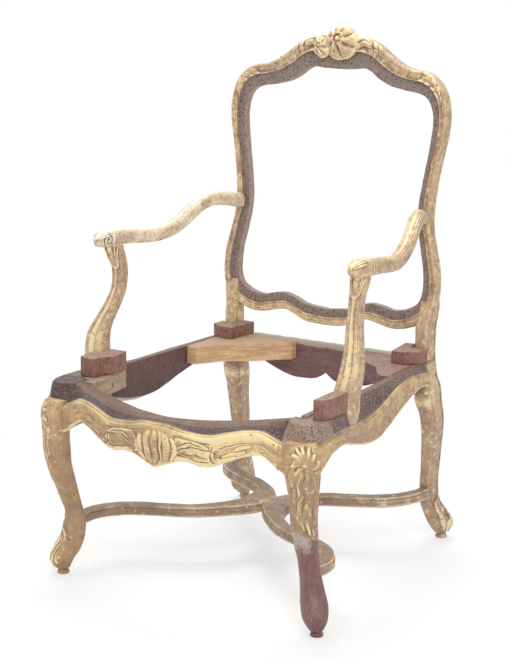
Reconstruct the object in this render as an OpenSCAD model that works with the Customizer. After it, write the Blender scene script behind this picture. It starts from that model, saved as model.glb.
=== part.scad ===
// Armchair frame with a flat serpentine back, open arms, cabriole legs and a
// crossed stretcher, shown without its upholstery. Millimetres, +Z up.
// The chair faces -Y. Left and right are as seen from the front. The origin
// lies on the floor, in the middle of the chair's width and depth.

/* [Seat] */
// Width over the seat frame at the front legs
seat_front_w = 628; // [580:2:680]
// Width over the seat frame at the back legs
seat_back_w = 524; // [500:2:560]
// Depth from the belly of the front rail to the heels of the rear feet
overall_d = 708; // [680:1:740]
// Height of the seat frame's top at its corners
seat_h = 402; // [385:1:425]
// Thickness of the seat rails, measured across
rail_t = 57; // [52:1:64]
// Thickness of the plain back rail
back_rail_t = 24; // [18:1:28]
// Bow of the front rail's outer face
front_bow = 47; // [25:1:60]
// Bow of the front rail's inner face
front_inner_bow = 52; // [35:1:60]
// Dip of the front rail's top in the middle
front_dish = 22; // [8:1:30]
// Depth of the front apron in the middle, under the corners' height
front_apron = 109; // [95:1:120]
// Depth of the side and back aprons at their lobes
side_apron = 80; // [72:1:90]
// Height of the tacking chamfer between the flat top and the gilt moulding
tack_drop = 24; // [12:1:28]

/* [Legs] */
// Sideways play of the front legs' curve
front_sway = 30; // [20:1:38]
// Sideways play of the rear legs' curve
rear_sway = 36; // [26:1:42]
// Width of the front legs at the knee, across the chair's corner
knee_w = 60; // [56:1:64]
// Depth of the rear legs at the seat
post_d = 46; // [42:1:50]
// Diameter of the turned pad under each foot
pad_d = 24; // [18:1:28]
// Height of the turned pad under each foot
pad_h = 16; // [10:1:20]

/* [Back] */
// Width of the back frame at its lower and upper bulges
back_w = 513; // [500:1:530]
// Height of the back frame from its lower edge to the top of the crest rail
back_h = 603; // [580:1:640]
// Gap between the seat frame's top and the lower edge of the back frame
back_gap = 43.5; // [36:0.5:52]
// Thickness of the back frame, front to back
frame_t = 28; // [26:0.5:32]
// Depth of the rebate that took the back's webbing
rebate_d = 8; // [4:0.5:10]
// Backward tilt of the back, in degrees
back_rake = 5; // [3:0.5:8]
// Height of the carved shell above the crest rail
shell_rise = 17; // [10:1:24]

/* [Arms] */
// Height of the arms' underside over the seat frame's top
arm_rise = 239; // [225:1:250]
// Reach of the arms from the back frame to the middle of the knuckle
arm_l = 392; // [375:1:405]
// Sweep of the arms out to the sides
arm_sweep = 72; // [66:1:78]
// Rise of the arms where they climb to the back
arm_climb = 60; // [50:1:70]
// Width of the arms
arm_w = 28; // [25:0.5:31]
// Sway of the arm supports, front to back
support_sway = 61; // [50:1:66]
// Width of the arm supports at their base
support_w = 34; // [30:0.5:36]

/* [Stretcher] */
// Height of the stretcher's underside above the floor
stretcher_z = 100; // [92:1:112]
// Width of the stretcher's curves
stretcher_w = 30; // [26:0.5:32]
// Thickness of the stretcher's curves
stretcher_t = 22; // [19:0.5:24]

/* [Joinery] */
// Thickness of the rails' tenons
tenon_t = 12; // [9:0.5:13]
// Length of the seat rails' tenons
tenon_l = 34; // [26:1:36]
// Diameter of the pegs in the seat frame
peg_d = 7; // [5:0.5:8]
// Clearance round tenons and pegs
fit = 0.2; // [0.1:0.05:0.3]
// Height of the tacking blocks in front of the arm supports
block_h = 38; // [30:1:44]
// Height of the tacking blocks in front of the back posts
rear_block_h = 26; // [20:1:32]
// Height of the corner braces
brace_h = 38; // [26:1:44]

/* [Hidden] */

gilt = "#c9a86a";
dirty_gilt = "#a08868";
bare_wood = "#7b5148";
block_wood = "#8a5248";
new_wood = "#d8b27c";
peg_wood = "#6b4a3c";
steel = "#8a8a8c";

// Overrun of every cut, and the clearance between parts that only lie close
cut = 1;
gap = 0.3;
// Steps between two chosen points of a curve
curve_steps = 2;
back_steps = 3;
// Points round a leg, an arm and a support
limb_points = 12;
round_fn = 48;

// Places of the seat frame, seen from above, for the right side
front_y = -overall_d / 2;
front_face_y = front_y + front_bow;
head_size = 76;
corner_x = seat_front_w / 2 - head_size;
corner_y = front_face_y + head_size;
foot_set_x = 19.5;
foot_set_y = 48;
front_foot = [seat_front_w / 2 - foot_set_x, front_face_y + foot_set_y];
rear_foot_set_x = 13.7;
heel = 16.8;
rear_foot = [seat_back_w / 2 - rear_foot_set_x, overall_d / 2 - heel];
rear_splay = 66;
post_inset = 32;
post = [seat_back_w / 2 - post_inset, rear_foot.y - rear_splay];
post_w = 38;
post_block = [40, 39, 72];
rear_joint_x = post.x - post_block.x / 2;
block_front_y = post.y - post_block.y / 2;
rear_joint_y = block_front_y - post_block.y / 4;
back_rail_y = post.y + post_block.y / 2 - back_rail_t;
inner_front_x = seat_front_w / 2 - rail_t;
rear_rail_t = 29;
inner_rear_x = seat_back_w / 2 - rear_rail_t;
function side_in_x(y) = inner_front_x
    + (inner_rear_x - inner_front_x) * (y - corner_y) / (rear_joint_y - corner_y);

// Curves through chosen points
function mix(a, b, t) = a * (1 - t) + b * t;
function between(a, b, c, d, t) = 0.5 * (2 * b + (c - a) * t
    + (2 * a - 5 * b + 4 * c - d) * t * t + (3 * b - a - 3 * c + d) * t * t * t);
function pick(list, i) = list[max(0, min(len(list) - 1, i))];
// All values between the chosen ones, with the chosen ones among them
function smooth(list, steps) = [
    for (i = [0 : len(list) - 2], k = [0 : steps - 1])
        between(pick(list, i - 1), list[i], list[i + 1], pick(list, i + 2), k / steps),
    list[len(list) - 1]];
function span(list, first, last) = [for (i = [first : last]) list[i]];
function backward(list) = [for (i = [len(list) - 1 : -1 : 0]) list[i]];
// The other side of a face, still starting at its first corner
function turned(face) = [face[0], each backward(span(face, 1, len(face) - 1))];
function total(list) = [for (row = list) 1] * list;
function signed_power(v, p) = sign(v) * pow(abs(v), p);

// A closed solid through rings of points, each ring with the same count
module skin(rings) {
    n = len(rings[0]);
    last = len(rings) - 1;
    points = [for (ring = rings) each ring];
    sides = [for (i = [0 : last - 1], j = [0 : n - 1])
        let (a = i * n + j, b = i * n + (j + 1) % n)
        each [[a, b, a + n], [b, b + n, a + n]]];
    caps = [[0, each [for (j = [n - 1 : -1 : 1]) j]], [for (j = [0 : n - 1]) last * n + j]];
    faces = concat(sides, caps);
    ahead = total(rings[1]) - total(rings[0]);
    facing = total([for (j = [0 : n - 1])
        cross(rings[0][j] - rings[0][0], rings[0][(j + 1) % n] - rings[0][0])]);
    polyhedron(points, facing * ahead > 0 ? [for (face = faces) turned(face)] : faces);
}

// A level ring with rounded corners, its power sets how square it is
squareness = 0.55;
function level_ring(x, y, z, w, d) = [for (k = [0 : limb_points - 1])
    let (a = -360 * (k + 0.5) / limb_points)
    [x + w / 2 * signed_power(cos(a), squareness),
     y + d / 2 * signed_power(sin(a), squareness), z]];

// The same ring upright across a path that runs along the direction to
function upright_ring(p, to, w, h) =
    let (side = [to.y, -to.x, 0] / norm([to.x, to.y]),
         up = cross(side, to) / norm(cross(side, to)))
    [for (k = [0 : limb_points - 1])
        let (a = 360 * (k + 0.5) / limb_points)
        p + side * w / 2 * signed_power(cos(a), squareness)
          + up * h / 2 * signed_power(sin(a), squareness)];

// Copies of what is made for the right side
module left() mirror([1, 0, 0]) children();
module both() { children(); left() children(); }
module box_at(center, size) translate(center) cube(size, center = true);
module grow_box(center, size, by) box_at(center, size + [2, 2, 2] * by);
// A rod from one point straight along X, Y or Z, or down the slope of a vector
module rod(from, along, l, d) translate(from)
    rotate([0, acos(along.z / norm(along)), atan2(along.y, along.x)])
        cylinder(h = l, d = d, $fn = round_fn);

// Seat rails: each station has a place inside and outside, and three heights
rail_flat_share = 0.42;
tack_share = 0.66;
lip_share = 0.96;
lip_rise_share = 0.3;
sole_share = 0.84;
sole_lift_share = 0.17;
roll = 9;
function rail_ring(inside, outside, flat, top, moulding, low) = [
    [inside.x, inside.y, top],
    concat(mix(inside, outside, flat), top),
    concat(mix(inside, outside, mix(flat, 1, tack_share)), moulding),
    [outside.x, outside.y, moulding - roll],
    concat(mix(inside, outside, lip_share), mix(low, moulding - roll, lip_rise_share)),
    concat(mix(inside, outside, sole_share), low),
    [inside.x, inside.y, mix(low, top, sole_lift_share)]];

// Shares of the half length, the outer bow, the inner bow, the chamfer and
// the front apron, from the middle of the front rail to its end
front_shares = [
    [0.00, 1.00, 1.00, 0.08, 1.00],
    [0.12, 0.97, 0.96, 0.12, 0.90],
    [0.28, 0.88, 0.84, 0.50, 0.80],
    [0.46, 0.75, 0.62, 0.72, 0.86],
    [0.62, 0.50, 0.42, 0.52, 0.73],
    [0.75, 0.28, 0.26, 0.44, 0.63],
    [0.87, 0.11, 0.12, 0.62, 0.59],
    [1.00, 0.00, 0.00, 1.40, 0.80]];
front_half = smooth(front_shares, curve_steps);
function front_station(s, side) =
    let (x = side * s[0] * corner_x, dish = front_dish * (1 - s[0] * s[0]),
         top = seat_h - dish)
    rail_ring([x, front_face_y + rail_t - front_inner_bow * s[2]],
              [x, front_face_y - front_bow * s[1]], rail_flat_share,
              top, top - tack_drop * s[3], seat_h - front_apron * s[4]);

// Shares of the length, the outward sweep, the chamfer, the side apron and
// the flat top, from the front joint of a side rail to its back joint
side_shares = [
    [0.00, 1.00, 1.10, 0.76, 0.86],
    [0.10, 0.90, 1.18, 0.74, 0.86],
    [0.20, 0.77, 1.38, 0.90, 0.78],
    [0.34, 0.57, 1.72, 1.11, 0.42],
    [0.46, 0.46, 1.55, 1.16, 0.40],
    [0.56, 0.39, 1.08, 1.02, 0.42],
    [0.66, 0.31, 0.58, 0.83, 0.44],
    [0.80, 0.20, 0.42, 0.61, 0.44],
    [0.92, 0.08, 0.66, 0.54, 0.42],
    [1.00, 0.00, 0.95, 0.62, 0.42]];
side_stations = smooth(side_shares, curve_steps);
function side_station(s) =
    let (y = mix(corner_y, rear_joint_y, s[0]))
    rail_ring([side_in_x(y), y],
              [mix(seat_back_w / 2, seat_front_w / 2, s[1]), y], s[4],
              seat_h, seat_h - tack_drop * s[2], seat_h - side_apron * s[3]);

// Front leg heads fan from the front rail's end round to the side rail's end.
// Shares of the head's size across and along, the chamfer, the side apron and
// the flat top
head_shares = [
    [0.00, 1.00, 1.40, 1.09, 0.42],
    [0.32, 0.98, 1.60, 1.22, 0.60],
    [0.60, 0.91, 1.72, 1.26, 0.76],
    [0.79, 0.78, 1.75, 1.26, 0.84],
    [0.90, 0.59, 1.65, 1.20, 0.86],
    [0.97, 0.33, 1.35, 0.98, 0.87],
    [1.00, 0.00, 1.10, 0.76, 0.86]];
head_core_share = 0.12;
function head_station(s) =
    let (inner = [corner_x, corner_y],
         outer = inner + head_size * [s[0], -s[1]])
    rail_ring(mix(inner, outer, head_core_share), outer, s[4],
              seat_h, seat_h - tack_drop * s[2], seat_h - side_apron * s[3]);

// A level ring turned to face the chair's corner: w across it and d along it
corner_power = 0.8;
function corner_ring(x, y, z, w, d) = [for (k = [0 : limb_points - 1])
    let (a = -360 * (k + 0.5) / limb_points,
         across = w / 2 * signed_power(cos(a), corner_power),
         along = d / 2 * signed_power(sin(a), corner_power))
    [x + (across + along) / sqrt(2), y + (across - along) / sqrt(2), z]];

// Front leg: shares of the sway outward and backward, of the knee's height
// and of the knee's width across and along the corner, from head to foot
knee_drop = 52;
knee_z = seat_h - knee_drop;
front_leg_shares = [
    [-0.75, -0.95, 1.063, 1.04, 0.66], [-0.50, -1.08, 1.00, 1.12, 0.76],
    [-0.50, -1.00, 0.923, 1.10, 0.83], [-0.50, -0.93, 0.843, 0.98, 0.85],
    [-0.48, -0.87, 0.771, 0.89, 0.85], [-0.51, -0.76, 0.694, 0.83, 0.80],
    [-0.60, -0.58, 0.620, 0.81, 0.76], [-0.66, -0.30, 0.543, 0.77, 0.70],
    [-0.74, -0.01, 0.463, 0.71, 0.66], [-0.79, 0.30, 0.386, 0.65, 0.61],
    [-0.73, 0.46, 0.303, 0.67, 0.71], [-0.57, 0.42, 0.229, 0.74, 0.77],
    [-0.30, 0.18, 0.160, 0.84, 0.88], [-0.05, -0.12, 0.097, 0.75, 0.77],
    [0.00, -0.08, 0.042, 0.48, 0.50]];
module front_leg_curve() {
    skin([for (s = smooth(front_leg_shares, curve_steps))
        corner_ring(front_foot.x + front_sway * s[0], front_foot.y + front_sway * s[1],
                    knee_z * s[2], knee_w * s[3], knee_w * s[4])]);
}
// A turned pad, as high as it takes to carry the lowest ring of its leg
module foot_pad(foot, leg_low_z) translate([foot.x, foot.y, 0])
    cylinder(h = max(pad_h, leg_low_z + cut), d = pad_d, $fn = round_fn);
module front_pad()
    foot_pad(front_foot, knee_z * front_leg_shares[len(front_leg_shares) - 1][2]);

// The front leg's curve at the stretcher: shares of its sway there
ankle_shares = [-0.75, 0.42];
ankle = front_foot + front_sway * ankle_shares;
ankle_share = 0.70;
ankle_w = knee_w * ankle_share;

// Rear leg: shares of the sway outward and backward from the foot, of the
// seat's height, of the post's width and of the post's depth
rear_leg_shares = [
    [-0.28, -1.62, 1.294, 0.88, 0.52], [-0.36, -1.66, 1.231, 0.92, 0.65],
    [-0.46, -1.74, 1.169, 0.90, 0.78], [-0.46, -1.78, 1.107, 0.88, 0.84],
    [-0.46, -1.80, 1.045, 0.88, 0.86], [-0.46, -1.79, 1.000, 0.90, 0.86],
    [-0.44, -1.72, 0.918, 0.98, 1.00], [-0.38, -1.56, 0.846, 1.14, 1.16],
    [-0.36, -1.42, 0.771, 1.20, 1.20], [-0.29, -1.20, 0.709, 1.06, 1.09],
    [-0.24, -1.09, 0.652, 0.98, 1.05], [-0.26, -1.03, 0.597, 0.92, 1.01],
    [-0.30, -1.00, 0.542, 0.88, 0.97], [-0.33, -0.98, 0.488, 0.84, 0.93],
    [-0.37, -0.95, 0.433, 0.81, 0.89], [-0.42, -0.93, 0.378, 0.78, 0.86],
    [-0.45, -0.92, 0.321, 0.77, 0.84], [-0.45, -0.88, 0.266, 0.79, 0.85],
    [-0.42, -0.73, 0.206, 0.90, 0.91], [-0.17, -0.40, 0.139, 1.11, 1.05],
    [0.00, -0.16, 0.085, 1.13, 1.00], [0.02, -0.06, 0.034, 0.64, 0.58]];
// Over the tacking blocks the neck leads to the back, which is narrower than the
// seat by this much, and reaches the back's own place within this rise
back_draw = 11;
neck_rise = 40;
neck_step = (back_w + back_draw - seat_back_w) / 2;
module rear_leg_curve()
    skin([for (s = smooth(rear_leg_shares, curve_steps))
        let (neck = max(0, min(1, (seat_h * (s[2] - 1) - rear_block_h) / neck_rise)))
        level_ring(rear_foot.x + rear_sway * s[0] + neck_step * neck,
                   rear_foot.y + rear_sway * s[1],
                   seat_h * s[2], post_w * s[3], post_d * s[4])]);
rear_ankle_shares = [-0.45, -0.89];
rear_ankle = rear_foot + rear_sway * rear_ankle_shares;
rear_ankle_share = 0.845;
rear_ankle_d = post_d * rear_ankle_share;

// Back frame, in its own tilted plane: X across, Z up the back from its lower
// edge and Y from its front face to its back. Shares of half the width and of
// the height: outer edge, then inner edge, from the top round to the bottom
back_shares = [
    [0.00, 1.000, 0.00, 0.885], [0.13, 0.998, 0.13, 0.887], [0.26, 0.990, 0.23, 0.891],
    [0.37, 0.970, 0.30, 0.880], [0.46, 0.942, 0.37, 0.858], [0.56, 0.915, 0.48, 0.836],
    [0.67, 0.896, 0.61, 0.824], [0.80, 0.887, 0.72, 0.817], [0.90, 0.860, 0.80, 0.803],
    [0.97, 0.813, 0.85, 0.773], [1.00, 0.750, 0.87, 0.726], [0.99, 0.679, 0.86, 0.663],
    [0.96, 0.616, 0.84, 0.600], [0.93, 0.537, 0.81, 0.521], [0.91, 0.458, 0.79, 0.450],
    [0.91, 0.380, 0.79, 0.387], [0.95, 0.301, 0.82, 0.317], [0.99, 0.230, 0.86, 0.238],
    [1.00, 0.159, 0.87, 0.167], [0.97, 0.096, 0.84, 0.120], [0.88, 0.052, 0.77, 0.098],
    [0.76, 0.027, 0.70, 0.087], [0.63, 0.019, 0.61, 0.082], [0.50, 0.030, 0.52, 0.090],
    [0.38, 0.038, 0.41, 0.096], [0.28, 0.024, 0.31, 0.085], [0.17, 0.005, 0.19, 0.066],
    [0.00, 0.000, 0.00, 0.057]];
// The crest ends this many chosen points from the top, and the bottom rail has
// this many to its middle
crest_points = 10;
bottom_points = 7;
upper_seam = crest_points;
lower_seam = len(back_shares) - bottom_points;
back_bottom_z = seat_h + back_gap;
plumb_set = 14;
back_y = post.y - plumb_set;
module on_back() translate([0, back_y, back_bottom_z]) rotate([-back_rake, 0, 0]) children();
back_half = smooth(back_shares, back_steps);
function back_point(s, side, first) =
    [side * s[first] * back_w / 2, s[first + 1] * back_h];
// Shares of the way from the outer to the inner edge, and depths, round a section
crown_share = 0.16;
cove_share = 0.47;
arris = 6;
cove_d = 3;
function back_ring(s, side) =
    let (o = back_point(s, side, 0), i = back_point(s, side, 2),
         at = function (share, depth) let (p = mix(o, i, share)) [p.x, depth, p.y])
    [at(0, frame_t), at(0, arris), at(crown_share, 0), at(cove_share, cove_d),
     at(cove_share, rebate_d), at(1, rebate_d), at(1, frame_t)];
module back_run(first, last, side) skin([for (s = span(back_half, first, last)) back_ring(s, side)]);
// The full arch from one side to the other, through the middle
module back_arch(half) {
    rings = concat(
        [for (s = backward(half)) back_ring(s, -1)],
        [for (s = span(half, 1, len(half) - 1)) back_ring(s, 1)]);
    skin(rings);
}
// The plane of a seam: X along the seam to the outer edge, Z across it
module at_seam(station) {
    o = back_point(back_shares[station], 1, 0);
    i = back_point(back_shares[station], 1, 2);
    middle = (o + i) / 2;
    translate([middle.x, 0, middle.y]) rotate([0, -atan2(o.y - i.y, o.x - i.x), 0]) children();
}
seam_tenon = [16, 10, 26];
seam_tenon_y = (frame_t + rebate_d) / 2;
module seam_tenon_box(by) grow_box([0, seam_tenon_y, seam_tenon.z / 2], seam_tenon, by);
// Each seam tenon starts a little inside the piece that carries it
tenon_root = 6;
module seam_tenon_solid()
    box_at([0, seam_tenon_y, (seam_tenon.z - tenon_root) / 2],
           [seam_tenon.x, seam_tenon.y, seam_tenon.z + tenon_root]);
back_peg_d = 6;
module back_peg(clear) rod([0, rebate_d - (clear > 0 ? cut : 0), seam_tenon.z / 2], [0, 1, 0],
    frame_t - rebate_d + (clear > 0 ? 2 * cut : 0), back_peg_d + 2 * clear);

// Carved shell as a scalloped boss, flat behind. Shares of its size, of its
// thickness and of the scallops' depth, from the front to the middle of its back
scallops = 9;
scallop_share = 0.05;
shell_ring_shares = [[0.4, 1, 0], [0.78, 0.85, 1], [0.97, 0.45, 1], [1, 0, 1], [0.2, 0, 0]];
shell_points = 36;
module shell_boss(w, h, t) skin([for (s = shell_ring_shares)
    [for (k = [0 : shell_points - 1]) let (a = 360 * k / shell_points,
        r = s[0] * (1 + scallop_share * s[2] * cos(scallops * a)) / 2)
        [w * r * cos(a), -t * s[1], h * r * sin(a)]]]);

// Arms: shares of the sweep, the reach, the climb, the width and the height
arm_low_z = seat_h + arm_rise + cut;
arm_shares = [
    [0.98, -0.045, 0.20, 0.70, 0.62], [1.00, -0.02, 0.21, 1.10, 1.00],
    [1.01, 0.03, 0.21, 1.25, 1.10], [1.03, 0.10, 0.19, 1.16, 1.06],
    [1.05, 0.20, 0.13, 1.05, 1.00],
    [1.01, 0.30, 0.05, 1.00, 0.96], [0.91, 0.387, 0.01, 0.98, 0.94],
    [0.81, 0.469, 0.05, 0.97, 0.94], [0.72, 0.55, 0.19, 0.97, 0.95],
    [0.65, 0.615, 0.40, 0.97, 0.97], [0.575, 0.678, 0.65, 0.97, 0.98],
    [0.48, 0.744, 0.875, 0.97, 0.98], [0.36, 0.816, 0.98, 0.97, 0.97],
    [0.20, 0.884, 0.94, 0.98, 0.96], [0.06, 0.945, 0.86, 1.00, 0.98],
    [0.00, 1.00, 0.82, 1.04, 1.02], [0.00, 1.03, 0.81, 1.04, 1.02]];
stile_share = 0.85;
arm_back_x = stile_share * back_w / 2;
arm_end_share = 0.82;
arm_end_z = arm_low_z + arm_climb * arm_end_share;
arm_end_y = back_y + (arm_end_z - back_bottom_z) * tan(back_rake);
function arm_point(s) = [arm_back_x + arm_sweep * s[0],
    arm_end_y - arm_l * (1 - s[1]), arm_low_z + arm_climb * s[2]];
arm_stations = smooth(arm_shares, curve_steps);
module arm_curve()
    skin([for (i = [0 : len(arm_stations) - 1])
        let (s = arm_stations[i],
             to = arm_point(pick(arm_stations, i + 1)) - arm_point(pick(arm_stations, i - 1)))
        upright_ring(arm_point(s), to, arm_w * s[3], arm_w * s[4])]);
arm_tenon = [14, 22, 12];
arm_tenon_in = 12;
// The arm's tenon in the back frame's own plane
module arm_tenon_box(by) on_back()
    grow_box([arm_back_x, arm_tenon.y / 2 - arm_tenon_in / 2 + by,
              (arm_end_z - back_bottom_z) / cos(back_rake)],
             [arm_tenon.x, arm_tenon.y + arm_tenon_in, arm_tenon.z], by);
arm_peg_d = 5;
module arm_peg(clear) on_back()
    rod([arm_back_x - arm_w / 2, arm_tenon.y / 2, (arm_end_z - back_bottom_z) / cos(back_rake)],
        [1, 0, 0], arm_w, arm_peg_d + 2 * clear);
// A flat pad on the stile, level with its crown, that the arm's end meets
pad_margin = 2;
arm_seat_t = 12;
module arm_seat() on_back()
    box_at([arm_back_x, arm_seat_t / 2, (arm_end_z - back_bottom_z) / cos(back_rake)],
           [arm_w - pad_margin, arm_seat_t, arm_w + 2 * pad_margin]);

// Arm supports: shares of the side sway, the front sway, the rise, the width
// and the depth, from the seat frame's top to the arm
side_sway = 14.5;
side_set = 11;
support_in = 26.4;
support_foot = [38, 44, 36];
support_set_share = 0.182;
support_y = mix(corner_y, rear_joint_y, support_set_share);
support_x = side_in_x(support_y) + support_in;
support_head_x = arm_back_x + arm_sweep - side_set;
// The supports' curve starts a little inside of where they stand
curve_set = 8;
support_shares = [
    [1.00, 0.00, 0.000, 1.30, 1.32], [1.02, 0.01, 0.075, 1.31, 1.31],
    [1.14, 0.05, 0.150, 1.30, 1.28], [1.30, 0.12, 0.220, 1.26, 1.20],
    [1.32, 0.21, 0.290, 1.20, 1.10], [1.18, 0.33, 0.350, 1.12, 1.02],
    [0.92, 0.48, 0.410, 1.02, 0.95], [0.62, 0.63, 0.475, 0.94, 0.90],
    [0.36, 0.75, 0.535, 0.88, 0.86], [0.13, 0.86, 0.600, 0.83, 0.83],
    [0.03, 0.94, 0.670, 0.80, 0.80], [0.03, 0.985, 0.740, 0.80, 0.79],
    [0.14, 1.00, 0.815, 0.83, 0.82], [0.41, 0.985, 0.880, 0.88, 0.88],
    [0.70, 0.94, 0.955, 0.94, 0.96], [0.80, 0.90, 1.000, 0.97, 1.00]];
module support_curve()
    skin([for (s = backward(smooth(support_shares, curve_steps)))
        level_ring(mix(support_x, support_head_x, s[2]) - curve_set + side_sway * s[0],
                   support_y + support_sway * s[1],
                   seat_h + arm_rise * s[2], support_w * s[3], support_w * s[4])]);
foot_set = 4;
foot_center = [support_x + foot_set, support_y, seat_h - support_foot.z / 2 + cut];
// Where the support meets the arm, as shares of its sways
support_top_shares = [0.8, 0.9];
support_top = [support_head_x - curve_set + side_sway * support_top_shares.x,
               support_y + support_sway * support_top_shares.y, seat_h + arm_rise];
support_tenon = [12, 16, 22];
support_peg_rise = 10;
support_peg_l = 17;
screw_d = 5;
screw_l = 40;
screw_head = [9, 3];
screw_drop = 22;
screw_z = seat_h - screw_drop;
module support_screw(clear) {
    from = [side_in_x(support_y), support_y, screw_z];
    rod(from - [clear > 0 ? cut : 0, 0, 0], [1, 0, 0],
        screw_l + clear + (clear > 0 ? cut : 0), screw_d + 2 * clear);
    rod(from - [clear > 0 ? cut : 0, 0, 0], [1, 0, 0],
        screw_head.y + clear + (clear > 0 ? cut : 0), screw_head.x + 2 * clear);
}

// Stretcher: shares of the front ankle's place across, of the way from the
// front ankle to the rear one, and of the curve's width
stretcher_shares = [
    [1.000, 0.000, 0.80], [1.000, 0.040, 0.80], [1.000, 0.095, 0.95], [0.950, 0.152, 1.02],
    [0.855, 0.205, 1.05], [0.696, 0.248, 1.00], [0.522, 0.283, 1.00], [0.380, 0.322, 1.05],
    [0.265, 0.372, 1.12], [0.162, 0.435, 1.45], [0.096, 0.505, 1.90], [0.100, 0.560, 1.90],
    [0.135, 0.612, 1.45], [0.195, 0.652, 1.10], [0.290, 0.690, 1.00], [0.418, 0.720, 1.00],
    [0.557, 0.752, 1.00], [0.696, 0.799, 1.00], [0.793, 0.862, 0.95], [0.842, 0.935, 0.80],
    [0.842, 1.000, 0.80]];
stretcher_end_share = 0.80;
rear_end_share = 0.842;
stretcher_stations = smooth(stretcher_shares, curve_steps);
function stretcher_point(s) =
    [s[0] * mix(ankle.x, rear_ankle.x / rear_end_share, s[1]), mix(ankle.y, rear_ankle.y, s[1]), 0];
stretcher_edge = 6;
function slab_ring(p, to, w) =
    let (side = [to.y, -to.x, 0] / norm([to.x, to.y]), h = stretcher_t, e = stretcher_edge)
    [for (q = [[-w / 2, 0], [w / 2, 0], [w / 2, h - e], [w / 2 - e, h], [e - w / 2, h], [-w / 2, h - e]])
        p + side * q.x + [0, 0, stretcher_z + q.y]];
housing = 4;
front_housing_y = ankle.y + ankle_w / 2 - housing;
rear_housing_y = rear_ankle.y - rear_ankle_d / 2 + housing;
stretcher_tenon = [11, 16, 13];
stretcher_mid_z = stretcher_z + stretcher_t / 2;
module stretcher_tenons(by) {
    grow_box([ankle.x, front_housing_y - stretcher_tenon.y / 2 + cut, stretcher_mid_z],
             stretcher_tenon + [0, 2 * cut, 0], by);
    grow_box([rear_ankle.x, rear_housing_y + stretcher_tenon.y / 2 - cut, stretcher_mid_z],
             stretcher_tenon + [0, 2 * cut, 0], by);
}
module stretcher_housings() {
    w = stretcher_w * stretcher_end_share + 2 * fit;
    for (end = [[ankle.x, front_housing_y + w / 2], [rear_ankle.x, rear_housing_y - w / 2]])
        box_at([end.x, end.y, stretcher_mid_z], [w, w, stretcher_t + 2 * fit]);
}
waist_share = 0.532;
waist_y = mix(ankle.y, rear_ankle.y, waist_share);
waist_peg_l = 34;
waist_peg_d = 6;
waist_peg_pitch = 16;
module waist_pegs(clear) for (way = [-1, 1])
    rod([-waist_peg_l / 2 - clear, waist_y + way * waist_peg_pitch / 2, stretcher_mid_z],
        [1, 0, 0], waist_peg_l + 2 * clear, waist_peg_d + 2 * clear);
ankle_peg_d = 4;
ankle_peg_l = 20;
module ankle_pegs(clear) for (p = [[ankle.x, front_housing_y - stretcher_tenon.y / 2],
                                   [rear_ankle.x, rear_housing_y + stretcher_tenon.y / 2]])
    rod([p.x - ankle_peg_l / 2 - clear, p.y, stretcher_mid_z],
        [1, 0, 0], ankle_peg_l + 2 * clear, ankle_peg_d + 2 * clear);

// Tenons and pegs of the seat rails, all for the right side
front_tenon = [tenon_l, tenon_t, 40];
side_tenon = [tenon_t, tenon_l, 40];
rear_tenon = [tenon_t, 30, 32];
back_tenon = [24, 10, 26];
tenon_drop = 40;
rear_tenon_drop = 31;
back_tenon_drop = 24;
front_tenon_y = front_face_y + rail_t / 2;
side_tenon_x = seat_front_w / 2 - rail_t / 2;
rear_tenon_set = 1.5;
rear_tenon_x = inner_rear_x + tenon_t / 2 + rear_tenon_set;
back_tenon_y = back_rail_y + back_rail_t / 2;
module front_tenon_box(by) grow_box(
    [corner_x + front_tenon.x / 2 - cut, front_tenon_y, seat_h - tenon_drop],
    front_tenon + [2 * cut, 0, 0], by);
module side_tenon_box(by) grow_box(
    [side_tenon_x, corner_y - side_tenon.y / 2 + cut, seat_h - tenon_drop],
    side_tenon + [0, 2 * cut, 0], by);
module rear_tenon_box(by) grow_box(
    [rear_tenon_x, rear_joint_y + rear_tenon.y / 2 - cut, seat_h - rear_tenon_drop],
    rear_tenon + [0, 2 * cut, 0], by);
module back_tenon_box(by) grow_box(
    [rear_joint_x + back_tenon.x / 2 - cut, back_tenon_y, seat_h - back_tenon_drop],
    back_tenon + [2 * cut, 0, 0], by);
peg_l = 38;
peg_cover = 4;
module front_peg(clear) rod(
    [corner_x + front_tenon.x / 2, front_face_y + peg_cover - clear, seat_h - tenon_drop],
    [0, 1, 0], peg_l + 2 * clear, peg_d + 2 * clear);
module side_peg(clear) rod(
    [seat_front_w / 2 - peg_cover + clear, corner_y - side_tenon.y / 2, seat_h - tenon_drop],
    [-1, 0, 0], peg_l + 2 * clear, peg_d + 2 * clear);
rear_peg_l = 28;
module rear_peg(clear) rod(
    [post.x + post_block.x / 2 - peg_cover / 2 + clear, block_front_y + post_block.y / 4,
     seat_h - rear_tenon_drop - peg_d],
    [-1, 0, 0], rear_peg_l + 2 * clear, peg_d + 2 * clear);
back_rail_peg_l = 20;
back_rail_peg_d = 6;
module back_rail_peg(clear) rod(
    [rear_joint_x + back_tenon.x / 2, post.y + post_block.y / 2 - peg_cover / 2 + clear,
     seat_h - back_tenon_drop],
    [0, -1, 0], back_rail_peg_l + 2 * clear, back_rail_peg_d + 2 * clear);

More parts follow.
